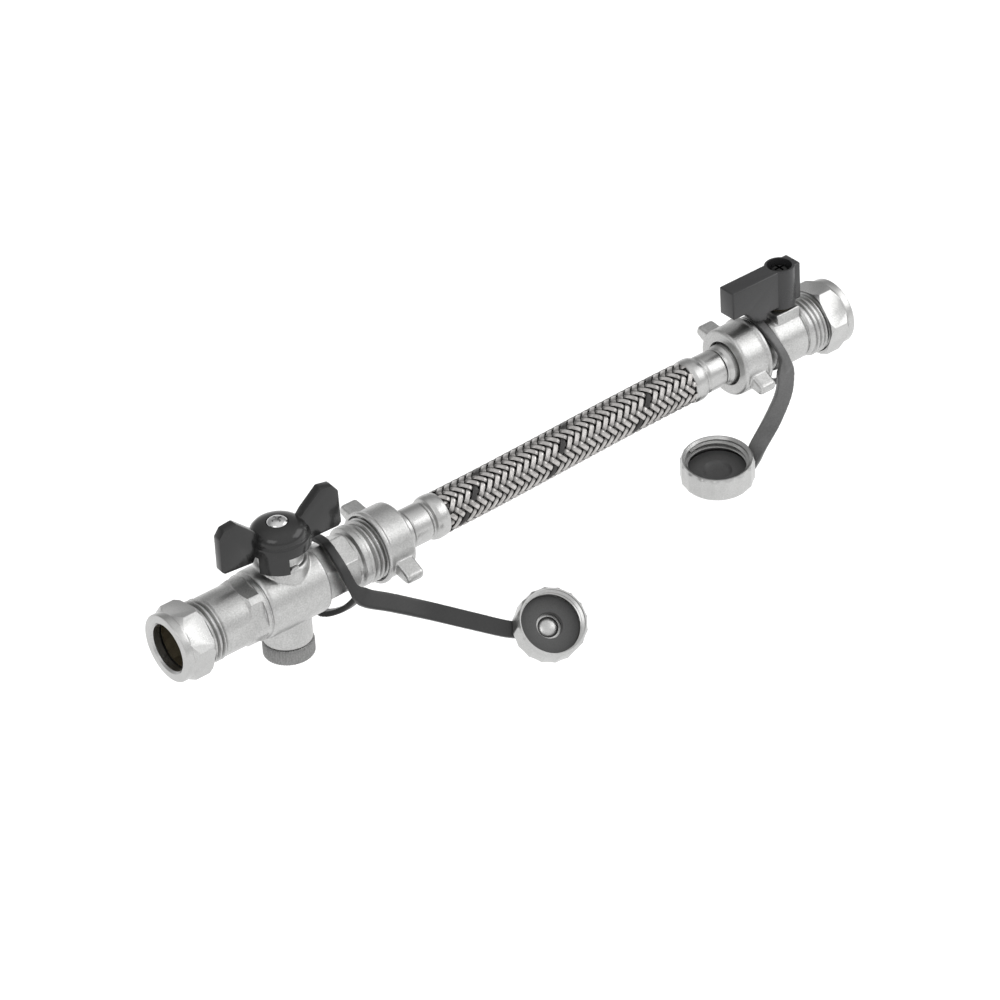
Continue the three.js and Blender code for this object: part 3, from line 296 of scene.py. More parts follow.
# %% Math nodes and node groups
def calculate(nodes, links, how, *values):
    """A Math node; each value is a number or another node's output."""
    node = nodes.new("ShaderNodeMath")
    node.operation = how
    for given, value in zip(node.inputs, values):
        if isinstance(value, (int, float)):
            given.default_value = value
        else:
            links.new(value, given)
    return node.outputs[0]


def new_group(name, inputs, outputs):
    group = bpy.data.node_groups.new(name, "ShaderNodeTree")
    for title, kind, value in inputs:
        socket = group.interface.new_socket(name=title, in_out="INPUT", socket_type=kind)
        if value is not None:
            socket.default_value = value
    for title, kind in outputs:
        group.interface.new_socket(name=title, in_out="OUTPUT", socket_type=kind)
    return group, group.nodes.new("NodeGroupInput"), group.nodes.new("NodeGroupOutput")


print("Node groups can be made")

# %% [markdown]
# ## Fine grain
# Two noises: the grain that blasting or moulding leaves, and slow patches where it lies thicker.

# %% Fine grain
def make_grain():
    group, given, out = new_group(
        "fine_grain",
        [("Vector", "NodeSocketVector", None), ("Scale", "NodeSocketFloat", 3000.0),
         ("Patch", "NodeSocketFloat", 120.0)],
        [("Tone", "NodeSocketFloat"), ("Height", "NodeSocketFloat"), ("Patches", "NodeSocketFloat")])
    nodes, links = group.nodes, group.links
    fine = nodes.new("ShaderNodeTexNoise")
    fine.inputs["Detail"].default_value = 3
    fine.inputs["Roughness"].default_value = 0.6
    slow = nodes.new("ShaderNodeTexNoise")
    slow.inputs["Detail"].default_value = 4
    for noise, size in ((fine, "Scale"), (slow, "Patch")):
        links.new(given.outputs["Vector"], noise.inputs["Vector"])
        links.new(given.outputs[size], noise.inputs["Scale"])
    patches = calculate(nodes, links, "MULTIPLY", slow.outputs["Fac"], 0.3)
    tone = calculate(nodes, links, "MULTIPLY_ADD", fine.outputs["Fac"], 0.7, patches)
    links.new(tone, out.inputs["Tone"])
    links.new(fine.outputs["Fac"], out.inputs["Height"])
    links.new(slow.outputs["Fac"], out.inputs["Patches"])
    return group


GRAIN = make_grain()
print("Grain:", [socket.name for socket in GRAIN.interface.items_tree])

# %% [markdown]
# ## Lathe lines
# A turning tool leaves fine rings about the axis. They are a noise that changes along X only.

# %% Lathe lines
def make_lathe_lines():
    group, given, out = new_group(
        "lathe_lines",
        [("Vector", "NodeSocketVector", None), ("Lines", "NodeSocketFloat", 3500.0)],
        [("Height", "NodeSocketFloat")])
    nodes, links = group.nodes, group.links
    split = nodes.new("ShaderNodeSeparateXYZ")
    lines = nodes.new("ShaderNodeTexNoise")
    lines.noise_dimensions = "1D"
    lines.inputs["Scale"].default_value = 1
    lines.inputs["Detail"].default_value = 2
    links.new(given.outputs["Vector"], split.inputs[0])
    stretched = calculate(nodes, links, "MULTIPLY", split.outputs["X"], given.outputs["Lines"])
    links.new(stretched, lines.inputs["W"])
    links.new(lines.outputs["Fac"], out.inputs["Height"])
    return group


LATHE = make_lathe_lines()
print("Node groups:", [g.name for g in bpy.data.node_groups])

# %% [markdown]
# ## Small steps that every material takes
# Each material starts from the Principled shader. A value is spread over another range, turned into two
# tones, or used as a height for a very small bump.

# %% Steps for the materials
def principled(name):
    material = bpy.data.materials.new(name)
    material.use_nodes = True
    nodes = material.node_tree.nodes
    return material, nodes, material.node_tree.links, nodes["Principled BSDF"]


def spread(nodes, links, value, low, high, out_low, out_high):
    """Maps a value's range to another one."""
    node = nodes.new("ShaderNodeMapRange")
    for title, number in (("From Min", low), ("From Max", high), ("To Min", out_low), ("To Max", out_high)):
        node.inputs[title].default_value = number
    links.new(value, node.inputs["Value"])
    return node.outputs["Result"]


def two_tones(nodes, links, value, dark, light):
    ramp = nodes.new("ShaderNodeValToRGB")
    ramp.color_ramp.elements[0].position = 0.3
    ramp.color_ramp.elements[0].color = (*dark, 1)
    ramp.color_ramp.elements[1].position = 0.7
    ramp.color_ramp.elements[1].color = (*light, 1)
    links.new(value, ramp.inputs["Fac"])
    return ramp.outputs["Color"]


def bumped(nodes, links, shader, height, distance):
    bump = nodes.new("ShaderNodeBump")
    bump.inputs["Distance"].default_value = distance
    bump.inputs["Strength"].default_value = 1
    links.new(height, bump.inputs["Height"])
    links.new(bump.outputs["Normal"], shader.inputs["Normal"])


print("Material steps are ready")

# %% [markdown]
# ## Metals
# The castings are nickel-plated brass, blasted to a fine satin. Nuts, caps and ferrules are smoother and
# the plug is duller. All are one metallic shader that moves a little with the grain.

# %% Metals
def metal(name, dark, light, rough, grain, depth, lathe=False, patch=130.0):
    material, nodes, links, shader = principled(name)
    shader.inputs["Metallic"].default_value = 1
    where = nodes.new("ShaderNodeTexCoord").outputs["Object"]
    fine = nodes.new("ShaderNodeGroup")
    fine.node_tree = GRAIN
    fine.inputs["Scale"].default_value = grain
    fine.inputs["Patch"].default_value = patch
    links.new(where, fine.inputs["Vector"])
    links.new(two_tones(nodes, links, fine.outputs["Tone"], dark, light), shader.inputs["Base Color"])
    links.new(spread(nodes, links, fine.outputs["Tone"], 0.3, 0.7, rough + 0.05, rough - 0.05),
              shader.inputs["Roughness"])
    height = fine.outputs["Height"]
    if lathe:
        rings = nodes.new("ShaderNodeGroup")
        rings.node_tree = LATHE
        links.new(where, rings.inputs["Vector"])
        height = calculate(nodes, links, "ADD", height, rings.outputs["Height"])
    bumped(nodes, links, shader, height, depth)
    return material


SATIN = metal("satin_nickel", (0.35, 0.35, 0.345), (0.55, 0.55, 0.545), 0.34, 1900, 0.00007)
TURNED = metal("turned_nickel", (0.40, 0.40, 0.395), (0.53, 0.53, 0.525), 0.3, 2600, 0.00002, lathe=True)
DULL = metal("dull_nickel", (0.17, 0.17, 0.168), (0.30, 0.30, 0.297), 0.4, 1900, 0.00005)
PLATED = metal("plated_steel", (0.5, 0.5, 0.5), (0.62, 0.62, 0.62), 0.16, 1500, 0.000004)
BRASS = metal("bare_brass", (0.40, 0.35, 0.25), (0.52, 0.46, 0.34), 0.34, 2000, 0.00001, lathe=True)
WIRE = metal("stainless_wire", (0.42, 0.405, 0.395), (0.72, 0.70, 0.685), 0.19, 900, 0.000004, patch=500.0)
BRAID = metal("woven_wire", (0.36, 0.347, 0.337), (0.62, 0.603, 0.59), 0.15, 900, 0.000004, patch=500.0)
BLACKED = metal("blacked_steel", (0.02, 0.02, 0.02), (0.05, 0.05, 0.05), 0.3, 1500, 0.000004)
print("Materials so far:", len(bpy.data.materials))

# %% [markdown]
# ## Shade between the wires
# Where one bundle dives under another, little light reaches it. Each vertex of the braid stores how high it
# lies, and the material reads that number and darkens the low places.

# %% Shade between the wires
def darken_by_depth(material):
    nodes, links = material.node_tree.nodes, material.node_tree.links
    shader = nodes["Principled BSDF"]
    colour = shader.inputs["Base Color"].links[0].from_socket
    stored = nodes.new("ShaderNodeAttribute")
    stored.attribute_name = "depth"
    light = spread(nodes, links, stored.outputs["Fac"], 0.15, 0.95, 0.13, 1)
    shade = nodes.new("ShaderNodeVectorMath")
    shade.operation = "SCALE"
    links.new(colour, shade.inputs[0])
    links.new(light, shade.inputs["Scale"])
    links.new(shade.outputs["Vector"], shader.inputs["Base Color"])


darken_by_depth(BRAID)
print("The braid's colour reads the depth")

# %% [markdown]
# ## Plastics and rubber
# The handles are black nylon: the wing handle is polished, the lever is less so, and the straps are matt.
# The far strap is the same black plastic with a painted sheen: its colour is made lighter grey to stand in
# for the light it catches. A faint unevenness in their roughness keeps them from looking like flat paint.

# %% Plastics and rubber
def moulded(name, dark, light, rough_low, rough_high, grain, depth):
    material, nodes, links, shader = principled(name)
    where = nodes.new("ShaderNodeTexCoord").outputs["Object"]
    fine = nodes.new("ShaderNodeGroup")
    fine.node_tree = GRAIN
    fine.inputs["Scale"].default_value = grain
    fine.inputs["Patch"].default_value = 90
    links.new(where, fine.inputs["Vector"])
    links.new(two_tones(nodes, links, fine.outputs["Tone"], dark, light), shader.inputs["Base Color"])
    rough = spread(nodes, links, fine.outputs["Patches"], 0.3, 0.7, rough_low, rough_high)
    links.new(rough, shader.inputs["Roughness"])
    bumped(nodes, links, shader, fine.outputs["Height"], depth)
    return material


GLOSS = moulded("gloss_black_nylon", (0.010, 0.010, 0.010), (0.016, 0.016, 0.016), 0.13, 0.2, 900, 0.000008)
MATT = moulded("matt_black_nylon", (0.02, 0.02, 0.021), (0.03, 0.03, 0.031), 0.26, 0.32, 2400, 0.00002)
STRAP = moulded("strap_plastic", (0.013, 0.013, 0.013), (0.02, 0.02, 0.02), 0.34, 0.42, 1600, 0.00001)
# painted sheen: the same black plastic as the near strap, made lighter grey to stand in for the light the far
# strap catches
STRAP_PAINTED_LIGHT = moulded("strap_plastic_painted_light", (0.08, 0.08, 0.08), (0.125, 0.125, 0.125), 0.3, 0.38,
                     1600, 0.00001)
RUBBER = moulded("black_rubber", (0.05, 0.05, 0.05), (0.075, 0.075, 0.075), 0.45, 0.55, 2600, 0.00002)
TRACER = moulded("black_tracer", (0.012, 0.011, 0.011), (0.03, 0.028, 0.027), 0.3, 0.4, 1500, 0.00001)
PTFE = moulded("white_fluoropolymer", (0.82, 0.81, 0.78), (0.9, 0.89, 0.87), 0.4, 0.5, 1800, 0.00001)
ACETAL = moulded("acetal", (0.78, 0.75, 0.68), (0.86, 0.84, 0.78), 0.35, 0.45, 1800, 0.00001)
print("Materials so far:", len(bpy.data.materials))

# %% [markdown]
# ## Every CAD node gets its finish
# The record says which slot a node belongs to, so one table gives all of them a material. The nodes that no
# finer piece replaces are the inner ones: balls, seats, stems, springs and the rubber hose.

# %% Finishes for the CAD nodes
FINISHES = {
    "satin_nickel": SATIN, "turned_nickel": TURNED, "brass": BRASS, "steel": PLATED,
    "stainless_braid": WIRE, "gloss_black": GLOSS, "matt_black": MATT, "rubber": RUBBER,
    "ptfe": PTFE, "acetal": ACETAL,
}
for part in frame["record"]["subparts"]:
    node = frame["nodes"][part["node"]]
    node.data.materials.clear()
    node.data.materials.append(FINISHES[part["material_slot"]])

# %% [markdown]
# ## From a shape to a piece
# The last step for each piece: it shrinks to metres, gets its name and finish, rides on the body that moves
# it, and takes the place of the plainer CAD node.

# %% From a shape to a piece
def piece(made, name, body, material, node):
    made.data.transform(Matrix.Scale(0.001, 4))
    made.name = name
    made.data.name = name
    if not made.data.materials:
        made.data.materials.append(material)
    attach(made, body)
    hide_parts(node)
    print(name, len(made.data.polygons), "faces")


print("Pieces can be named and placed")

# %% [markdown]
# ## Stations along the pipe
# These are distances in millimetres from the near nut's open face. The far half sits a little higher than
# the near half, and its nuts and hose end are the near ones mirrored.

# %% Stations
RISE = 2.6  # height of the far half above the near half
END = 274.6  # open face of the far nut
STEM_X = 44.9
FAR_STEM_X = 251.8
HOSE_START, HOSE_END = 106.6, 208.9  # where the braid leaves the two ferrules
MIRROR = HOSE_START + HOSE_END
THREAD_R = 10.48  # crests of the G1/2 threads
THREAD_BORE = 10.78  # bores that run over those crests
PIPE_BORE = 7.65  # sockets for a 15 mm pipe
to_far_end = Matrix.Translation((END, 0, RISE)) @ Matrix.Diagonal((-1, 1, 1, 1))
to_far_hose = Matrix.Translation((MIRROR, 0, RISE)) @ Matrix.Diagonal((-1, 1, 1, 1))
print("Hose length:", HOSE_END - HOSE_START)

# %% [markdown]
# ## Compression nuts
# A hexagon with both ends turned down, which leaves curves on its corners, and a round collar at the open
# end. A turned envelope cuts the hexagon, then the collar is added and the bore taken out.

# %% Compression nuts
NUT_FLATS, NUT_TURN = 22, 40  # millimetres across, and degrees from the front up to the middle of a flat


def compression_nut():
    envelope = turned([(2.2, 0), (2.2, 10.9), (4.5, 12.6), (9.4, 12.6), (10.5, 11.7), (10.5, 0)])
    body = combine(hexagon(2.0, 10.6, NUT_FLATS, NUT_TURN, 0.25), "INTERSECT", envelope)
    collar = turned(rounded([(0, 0), (0, 11.35), (2.6, 11.35), (3.4, 10.9), (4, 10.6), (4, 0)], 0.5))
    bore = turned([(-1, 0), (-1, 8.6), (0, 8.6), (0.7, 7.9), (3, 7.9), (4.7, 9.9), (4.9, THREAD_BORE),
                   (11, THREAD_BORE), (11, 0)])
    return combine(combine(body, "UNION", collar), "DIFFERENCE", bore)


nut = compression_nut()
far_nut_shape = moved(copy_of(nut), to_far_end)
piece(nut, "near_nut_piece", "near_compression_nut", TURNED, "near_nut")
piece(far_nut_shape, "far_nut_piece", "far_compression_nut", TURNED, "far_nut")

# %% [markdown]
# ## Inlet connector
# A blasted barrel with a thread at its mouth for the nut, and a short raised ring before the valve body.
# Six flats are milled into the ring, nearly down to the barrel. Each ends in a small crescent wall.

# %% Inlet connector
INLET_FLATS, INLET_TURN = 20.5, 17


def inlet_connector():
    barrel = turned(rounded([
        (6.1, PIPE_BORE), (6.1, 9.4), (6.5, 9.5), (15.6, 9.5), (16.2, 10.2), (26, 10.2), (30.8, 10.2),
        (31.3, 10.6), (32.9, 10.6), (32.9, 8.4), (36.7, 8.4), (36.7, 5.2), (33.5, 5.2), (33.5, 6.6),
        (20.6, 6.6), (20.6, PIPE_BORE)], 0.25, 3))
    crown = turned([(25.9, 8), (25.9, 10.2), (26.9, 11.2), (31.2, 11.2), (31.2, 8)], crease=12)
    flats = combine(hexagon(25.8, 31.2, INLET_FLATS, INLET_TURN), "INTERSECT", crown, crease=12)
    ring = turned([(31.1, 8), (31.1, 11.15), (32.2, 11.15), (32.6, 10.95), (32.9, 10.95), (32.9, 8)])
    return gather(combine(barrel, "UNION", flats, ring, crease=12), thread(6.6, 16.2, 9.4, THREAD_R))


piece(inlet_connector(), "inlet_connector_piece", "frame", SATIN, "inlet_connector")

# %% [markdown]
# ## Near valve body
# A casting: barrel, stem boss, branch and the two stop posts run into each other with soft fillets. They
# are melted together and smoothed a little, as sand and plating do, and the bores are cut afterwards.

# %% Near valve body
def post(x, z0, z1, inner, outer, from_deg, to_deg):
    """A stop post: a piece of a ring about the stem."""
    bm = bmesh.new()
    section = ((inner, z0), (outer, z0), (outer, z1), (inner, z1))
    face = bm.faces.new([bm.verts.new((r, 0, z)) for r, z in section])
    span = math.radians(to_deg - from_deg)
    bmesh.ops.spin(bm, geom=[face, *face.edges, *face.verts], cent=(0, 0, 0), axis=(0, 0, 1), angle=span,
                   steps=12)
    start = Matrix.Rotation(math.radians(from_deg), 3, "Z")
    bmesh.ops.rotate(bm, verts=bm.verts, cent=(0, 0, 0), matrix=start)
    bmesh.ops.translate(bm, vec=(x, 0, 0), verts=bm.verts)
    return shape(bm)


def valve_body():
    barrel = turned([(33, 0), (33, 10.9), (33.5, 11.35), (34, 11.5), (54.6, 11.5), (55.2, 11.3),
                     (55.5, 10.9), (55.5, 0)])
    boss = turned_up([(0, 0), (0, 8.9), (11.5, 8.8), (12.1, 8.5), (12.4, 8), (12.5, 0)], STEM_X)
    neck = rod(STEM_X, 0, 10, 17.3, 6.95)
    branch = rod(STEM_X, 0, -17.6, 0, 8)
    posts = [post(STEM_X, 11, 13, 5.6, 8.2, degrees, degrees + 20) for degrees in (258.5, 82.5)]
    skin = fuse(gather(barrel, boss, neck, branch, *posts), 0.26, 6)
    return combine(skin, "DIFFERENCE", turned([(32, 0), (32, 8.7), (57, 8.7), (57, 0)]),
                   rod(STEM_X, 0, 5, 19, 4), rod(STEM_X, 0, -19, -5, 5.6), crease=50)


piece(valve_body(), "valve_body_piece", "frame", SATIN, "valve_body")

# %% [markdown]
# ## Drain plug
# The plug under the branch has a finely ribbed rim for the fingers. Its blank is turned with four steps to
# a rib, and a wave round the plug pulls the rim in between the ribs.

# %% Drain plug
RIBS = 60
RIB_DEPTH = 0.34


def drain_plug():
    blank = turned_up([(-23.5, 0), (-23.5, 7.5), (-23.2, 8.0), (-22.9, 8.35), (-18.6, 8.35), (-18.1, 7.95),
                       (-18, 7.8), (-18, 5.3), (-12, 5.3), (-12, 0)], steps=RIBS * 4, crease=40)
    for v in blank.data.vertices:
        out = math.hypot(v.co.x, v.co.y)
        if out > 7.9:
            wave = 0.5 + 0.5 * math.cos(RIBS * math.atan2(v.co.y, v.co.x))
            pull = 1 - RIB_DEPTH * (1 - wave) ** 2 / out
            v.co.x *= pull
            v.co.y *= pull
    return moved(blank, Matrix.Translation((STEM_X, 0, 0)))


piece(drain_plug(), "drain_plug_piece", "branch_plug", DULL, "drain_plug")

# %% [markdown]
# ## Wing handle
# A polished moulding: a domed hub, two wings, and a tab that hangs down between the stop posts. The wings
# are bevelled first and joined to the hub by exact Booleans, so their edges stay crisp.

# %% Wing handle
HANDLE_TURN = -4.5  # degrees off square at rest


def wing_handle():
    hub = turned_up([(17.8, 0), (17.8, 9.9), (18.1, 10.15), (20.8, 10.15), (21.4, 9.95), (21.6, 9.4),
                     (21.8, 9.15), (22.8, 9.05), (23.8, 8.7), (24.7, 7.9), (25.4, 6.7), (25.8, 5.2),
                     (26.1, 3.8), (26.2, 0)])
    outline = [(2, 19), (9, 19), (10.5, 15.9), (20.8, 16.2), (21.9, 17.4), (21.7, 29.2), (19.7, 31.9),
               (15.4, 32.6), (8.9, 26.8), (7.4, 25), (2, 25)]
    wings = []
    for turn in (0, math.pi):
        wings.append(moved(plate(outline, -1.75, 1.75, 0.45, 2), Matrix.Rotation(turn, 4, "Z")))
    tab = post(0, 12.5, 18.6, 7.2, 10.15, 199, 256)
    body = combine(hub, "UNION", *wings, tab, crease=30)
    body = combine(body, "DIFFERENCE", rod(0, 0, 25.3, 28, 3.6), rod(0, 0, 14, 19.4, 7.2),
                   rod(0, 0, 14, 28, 1.9), crease=30)
    place = Matrix.Translation((STEM_X, 0, 0)) @ Matrix.Rotation(math.radians(HANDLE_TURN), 4, "Z")
    return moved(body, place)


piece(wing_handle(), "wing_handle_piece", "near_handle", GLOSS, "wing_handle")

# %% [markdown]
# ## Handle screws
# A pan head with a cross recess: a turned dome with two thin blocks cut from it.

# %% Handle screws
def pan_screw(x, seat, foot, lift=0.0):
    top = seat + 1.9
    head = turned_up(rounded([
        (foot, 0), (foot, 1.6), (seat, 1.6), (seat, 3.4), (seat + 0.9, 3.4), (seat + 1.5, 2.7), (top, 1.5),
        (top, 0)], 0.35), x, 64)
    reach, half = 1.9, 0.4
    made = combine(head, "DIFFERENCE", box(x - reach, x + reach, -half, half, top - 1, top + 1),
                   box(x - half, x + half, -reach, reach, top - 1, top + 1))
    return lifted(made, lift)


wing_screw = pan_screw(STEM_X, 25.22, 16.9)
lever_screw = pan_screw(FAR_STEM_X, 24.52, 12.7, RISE)
piece(wing_screw, "wing_handle_screw_piece", "near_handle", PLATED, "wing_handle_screw")
piece(lever_screw, "lever_screw_piece", "far_lever", BLACKED, "lever_screw")

# %% [markdown]
# ## Outlet connector
# A narrow hexagon that swells into a round flange, a groove, and the thread for the hose's wing nut.

# %% Outlet connector
def outlet_connector():
    core = turned(rounded([
        (52.9, 5.2), (52.9, 8.4), (68.7, 8.4), (68.8, 8.7), (69.7, 8.7), (70.2, 10.2), (71.9, 10.25),
        (72.1, 10.05), (72.3, 10.25), (73.3, 10.2), (73.9, 9.5), (82.1, 9.5), (82.1, 6.6), (57.1, 6.6),
        (57.1, 5.2)], 0.25, 3))
    crown = turned(rounded([(55.6, 8), (55.6, 9.75), (68.2, 9.75), (68.75, 9.2), (68.75, 8)], 0.3, 3))
    flats = combine(hexagon(55.6, 68.8, 17, 0, 0.35), "INTERSECT", crown)
    return gather(combine(core, "UNION", flats), thread(73.5, 82.1, 9.6, THREAD_R))


piece(outlet_connector(), "outlet_connector_piece", "frame", SATIN, "outlet_connector")

# %% [markdown]
# ## Wing nuts
# Each nut is a forging with two ears for the fingers. Barrel and ears are melted together, which rounds the
# roots of the ears, and the bore is cut clean afterwards.

# %% Wing nuts
EAR_TURN = 17  # degrees that the front ear points down, and the rear one up
EAR_ROOT = 9


def ear(x, tip, turn):
    """One ear, thick where it leaves the barrel and thin at its tip."""
    bm = bmesh.new()
    bmesh.ops.create_cube(bm, size=1)
    bmesh.ops.scale(bm, vec=(6.6, tip - EAR_ROOT, 4.2), verts=bm.verts)
    bmesh.ops.translate(bm, vec=(x, -(tip + EAR_ROOT) / 2, 0), verts=bm.verts)
    bmesh.ops.scale(bm, vec=(1, 1, 1.5), verts=[v for v in bm.verts if v.co.y > -EAR_ROOT - 1])
    bmesh.ops.scale(bm, vec=(1, 1, 0.82), verts=[v for v in bm.verts if v.co.y < -EAR_ROOT - 1])
    soften(bm, bm.edges[:], 1.1)
    bmesh.ops.rotate(bm, verts=bm.verts, cent=(0, 0, 0), matrix=Matrix.Rotation(math.radians(turn), 3, "X"))
    return shape(bm)


def wing_nut(x0, tip):
    """A nut whose back is at x0 and whose ears reach out to the radius tip."""
    end = x0 + 11
    barrel = turned([(x0 + 0.05, 0), (x0 + 0.05, 11.9), (x0 + 0.35, 12.2), (x0 + 1.5, 12.2), (x0 + 2, 11.6),
                     (end - 0.9, 11.6), (end - 0.3, 11.3), (end, 10.7), (end, 0)])
    ears = [ear(x0 + 5.8, tip, EAR_TURN + extra) for extra in (0, 180)]
    skin = fuse(gather(barrel, *ears), 0.26, 7)
    bore = turned([(x0 - 1, 0), (x0 - 1, 11.2), (x0, 11.2), (x0 + 0.5, THREAD_BORE), (end - 2.4, THREAD_BORE),
                   (end - 2.4, 7.4), (end - 0.5, 7.4), (end, 7.8), (end + 1, 7.8), (end + 1, 0)])
    return combine(skin, "DIFFERENCE", bore, crease=50)


WING_NUT_START = 77.7
far_wing = moved(wing_nut(WING_NUT_START, 16.9), to_far_hose)
near_wing = wing_nut(WING_NUT_START, 18.1)
piece(near_wing, "near_wing_nut_piece", "near_hose_nut", SATIN, "near_wing_nut")
piece(far_wing, "far_wing_nut_piece", "far_hose_nut", SATIN, "far_wing_nut")

# %% [markdown]
# ## Hose tails and ferrules
# The tail's flange hides in the wing nut; its shank shows as a bright stub. The ferrule is a thin tube
# crimped on the hose, with a waist and a full round bead where the braid goes in.

# %% Hose tails and ferrules
def hose_tail():
    return turned(rounded([
        (84.4, 3.6), (84.4, 9.6), (86, 9.6), (86, 6.95), (90, 6.95), (91.2, 6.4), (92.3, 6.35), (92.3, 4.0),
        (105.1, 4.0), (105.1, 3.6)], 0.2, 3))


def ferrule():
    return turned(rounded([
        (92.4, 4.7), (92.4, 6.1), (92.9, 6.5), (99.4, 6.5), (100, 5.85), (100.7, 5.85), (101.2, 7.1),
        (102.6, 7.45), (104.9, 7.4), (106.1, 7.1), (106.5, 6.5), (106.5, 5.6), (93.3, 5.5),
        (93.3, 4.7)], 0.35, 5), crease=50)


for side, place in (("near", Matrix.Identity(4)), ("far", to_far_hose)):
    for made, name in ((hose_tail(), "_hose_tail"), (ferrule(), "_ferrule")):
        piece(moved(made, place), side + name + "_piece", "frame", TURNED, side + name)

# %% [markdown]
# ## The braid
# Twelve flat bundles of four wires wind one way and twelve the other, each passing over two and under two.
# One bundle is the section of its four wires, spun about the hose with a small step along it.

# %% One bundle of wires
BUNDLES = 12
LEAD = 36.11  # along the hose for one turn of a bundle
TUCK = 0.2  # how far the braid runs under each ferrule
BRAID_TURN = 7.3  # degrees that the whole weave is turned about the hose
BRAID_MID, BRAID_WAVE = 6.68, 0.3  # middle radius, and how far the bundles rise and sink


def rise_at(x):
    """Height of the hose's axis, which climbs to the far half in a smooth step."""
    t = min(1, max(0, (x - HOSE_START) / (HOSE_END - HOSE_START)))
    return RISE * t * t * (3 - 2 * t)


def wire_bundle(way):
    """A helical bundle of four wires; way is 1 or -1."""
    wires, width = 4, 2.16
    top = []
    for k in range(wires * 3 + 1):
        across = k / (wires * 3) * 2 - 1
        height = 0.15 * (1 - across * across) + 0.09 * abs(math.sin(math.pi * k / 3))
        top.append((width * across / 2, height))
    bm = bmesh.new()
    section = [(width / 2, -0.2), *reversed(top), (-width / 2, -0.2)]
    face = bm.faces.new([bm.verts.new((HOSE_START - TUCK + x, 0, BRAID_MID + r)) for x, r in section])
    length = HOSE_END - HOSE_START + 2 * TUCK
    turns = length / LEAD
    count = round(turns * 2 * BUNDLES * 5)
    bmesh.ops.spin(bm, geom=[face, *face.edges, *face.verts], cent=(0, 0, 0), axis=(1, 0, 0),
                   dvec=(length / count, 0, 0), angle=way * turns * 2 * math.pi, steps=count)
    bmesh.ops.recalc_face_normals(bm, faces=bm.faces)
    return mesh_from(bm, "bundle")


print("Weave:", BUNDLES, "bundles each way")

# %% [markdown]
# ## Weaving the bundles
# Each layer is twelve copies of its bundle, turned about the hose. A wave round the hose lifts and sinks
# them, with its top flattened so that a bundle stays up over two others. The height is stored for the shade
# between the wires. One bundle of the second layer is the black tracer.

# %% The woven layers
def braid_layer(way, tracer):
    """All bundles that wind one way, woven by a wave round the hose."""
    one = wire_bundle(way)
    bm = bmesh.new()
    for k in range(BUNDLES):
        before = len(bm.verts)
        faces_before = len(bm.faces)
        bm.from_mesh(one)
        bm.verts.ensure_lookup_table()
        bm.faces.ensure_lookup_table()
        turn = math.radians(BRAID_TURN) + 2 * math.pi * k / BUNDLES
        bmesh.ops.rotate(bm, verts=bm.verts[before:], cent=(0, 0, 0), matrix=Matrix.Rotation(turn, 3, "X"))
        for f in bm.faces[faces_before:]:
            f.material_index = 1 if k == tracer else 0
    depth = bm.verts.layers.float.new("depth")
    for v in bm.verts:
        crossing = (math.degrees(math.atan2(v.co.z, v.co.y)) - BRAID_TURN) * BUNDLES / 180
        along = (v.co.x - HOSE_START + TUCK) / LEAD * 2 * BUNDLES
        aside = (along - way * (crossing - BUNDLES / 2) + 1) % 2 - 1
        wave = math.cos(math.pi / 2 * (crossing + way * aside / 2 - 2.5))
        wave = max(-1, min(1, 2.1 * wave)) * (1 - 0.12 * aside * aside)
        r = math.hypot(v.co.y, v.co.z)
        v[depth] = (r - BRAID_MID + way * BRAID_WAVE * wave) / (BRAID_WAVE + 0.24)
        k = (r + way * BRAID_WAVE * wave) / r
        v.co.y *= k
        v.co.z = v.co.z * k + rise_at(v.co.x)
    mesh = mesh_from(bm, "braid")
    mesh.shade_smooth()
    mesh.set_sharp_from_angle(angle=math.radians(50))
    mesh.materials.append(BRAID)
    mesh.materials.append(TRACER)
    return add_object("braid", mesh)


piece(braid_layer(1, None), "braid_one_way", "frame", BRAID, "hose_braid")
piece(braid_layer(-1, 5), "braid_other_way", "frame", BRAID, "hose_braid")

# %% [markdown]
# ## Far valve body
# One casting again: thread and neck for the hose, the ball housing with its square stem boss, a groove and
# the pipe thread.

# %% Far valve body
def far_valve_body():
    housing = turned([(239.4, 0), (239.4, 8.6), (243.2, 8.6), (243.6, 9.4), (244.1, 9.7), (255.3, 9.7),
                      (255.8, 9.4), (256, 9.0), (257.6, 9.2), (257.6, 0)])
    boss = box(FAR_STEM_X - 5.7, FAR_STEM_X + 4.3, -5.1, 5.1, 0, 12.1, 0.5)
    skin = fuse(gather(housing, boss), 0.28, 7)
    bore = turned([(238, 0), (238, 7.8), (258.4, 7.8), (258.4, 0)])
    skin = combine(skin, "DIFFERENCE", bore, rod(FAR_STEM_X, 0, 5, 14, 4), crease=50)
    hose_end = turned(rounded([
        (233.4, 7.8), (233.4, 9.2), (233.8, 9.5), (239.2, 9.5), (239.3, 8.6), (240, 8.4),
        (240, 7.8)], 0.2, 3))
    pipe_end = turned(rounded([
        (256.6, 7.9), (256.6, 9.3), (257.4, 9.8), (268.1, 9.8), (268.5, 9.2), (268.5, 7.7),
        (261.5, PIPE_BORE), (261.5, 5.2), (259.2, 5.2), (259.2, 7.9)], 0.2, 3))
    made = gather(skin, hose_end, pipe_end, thread(233.6, 239.2, 9.4, THREAD_R),
                  thread(258.3, 268.3, 9.7, THREAD_R))
    return lifted(made, RISE)


piece(far_valve_body(), "far_valve_body_piece", "frame", SATIN, "far_valve_body")

# %% [markdown]
# ## Lever
# A straight bar with a round hub at one end, and a lobe that reaches down beside the valve's boss. The
# screw lies deep in an open recess, which shows as a dark hole.

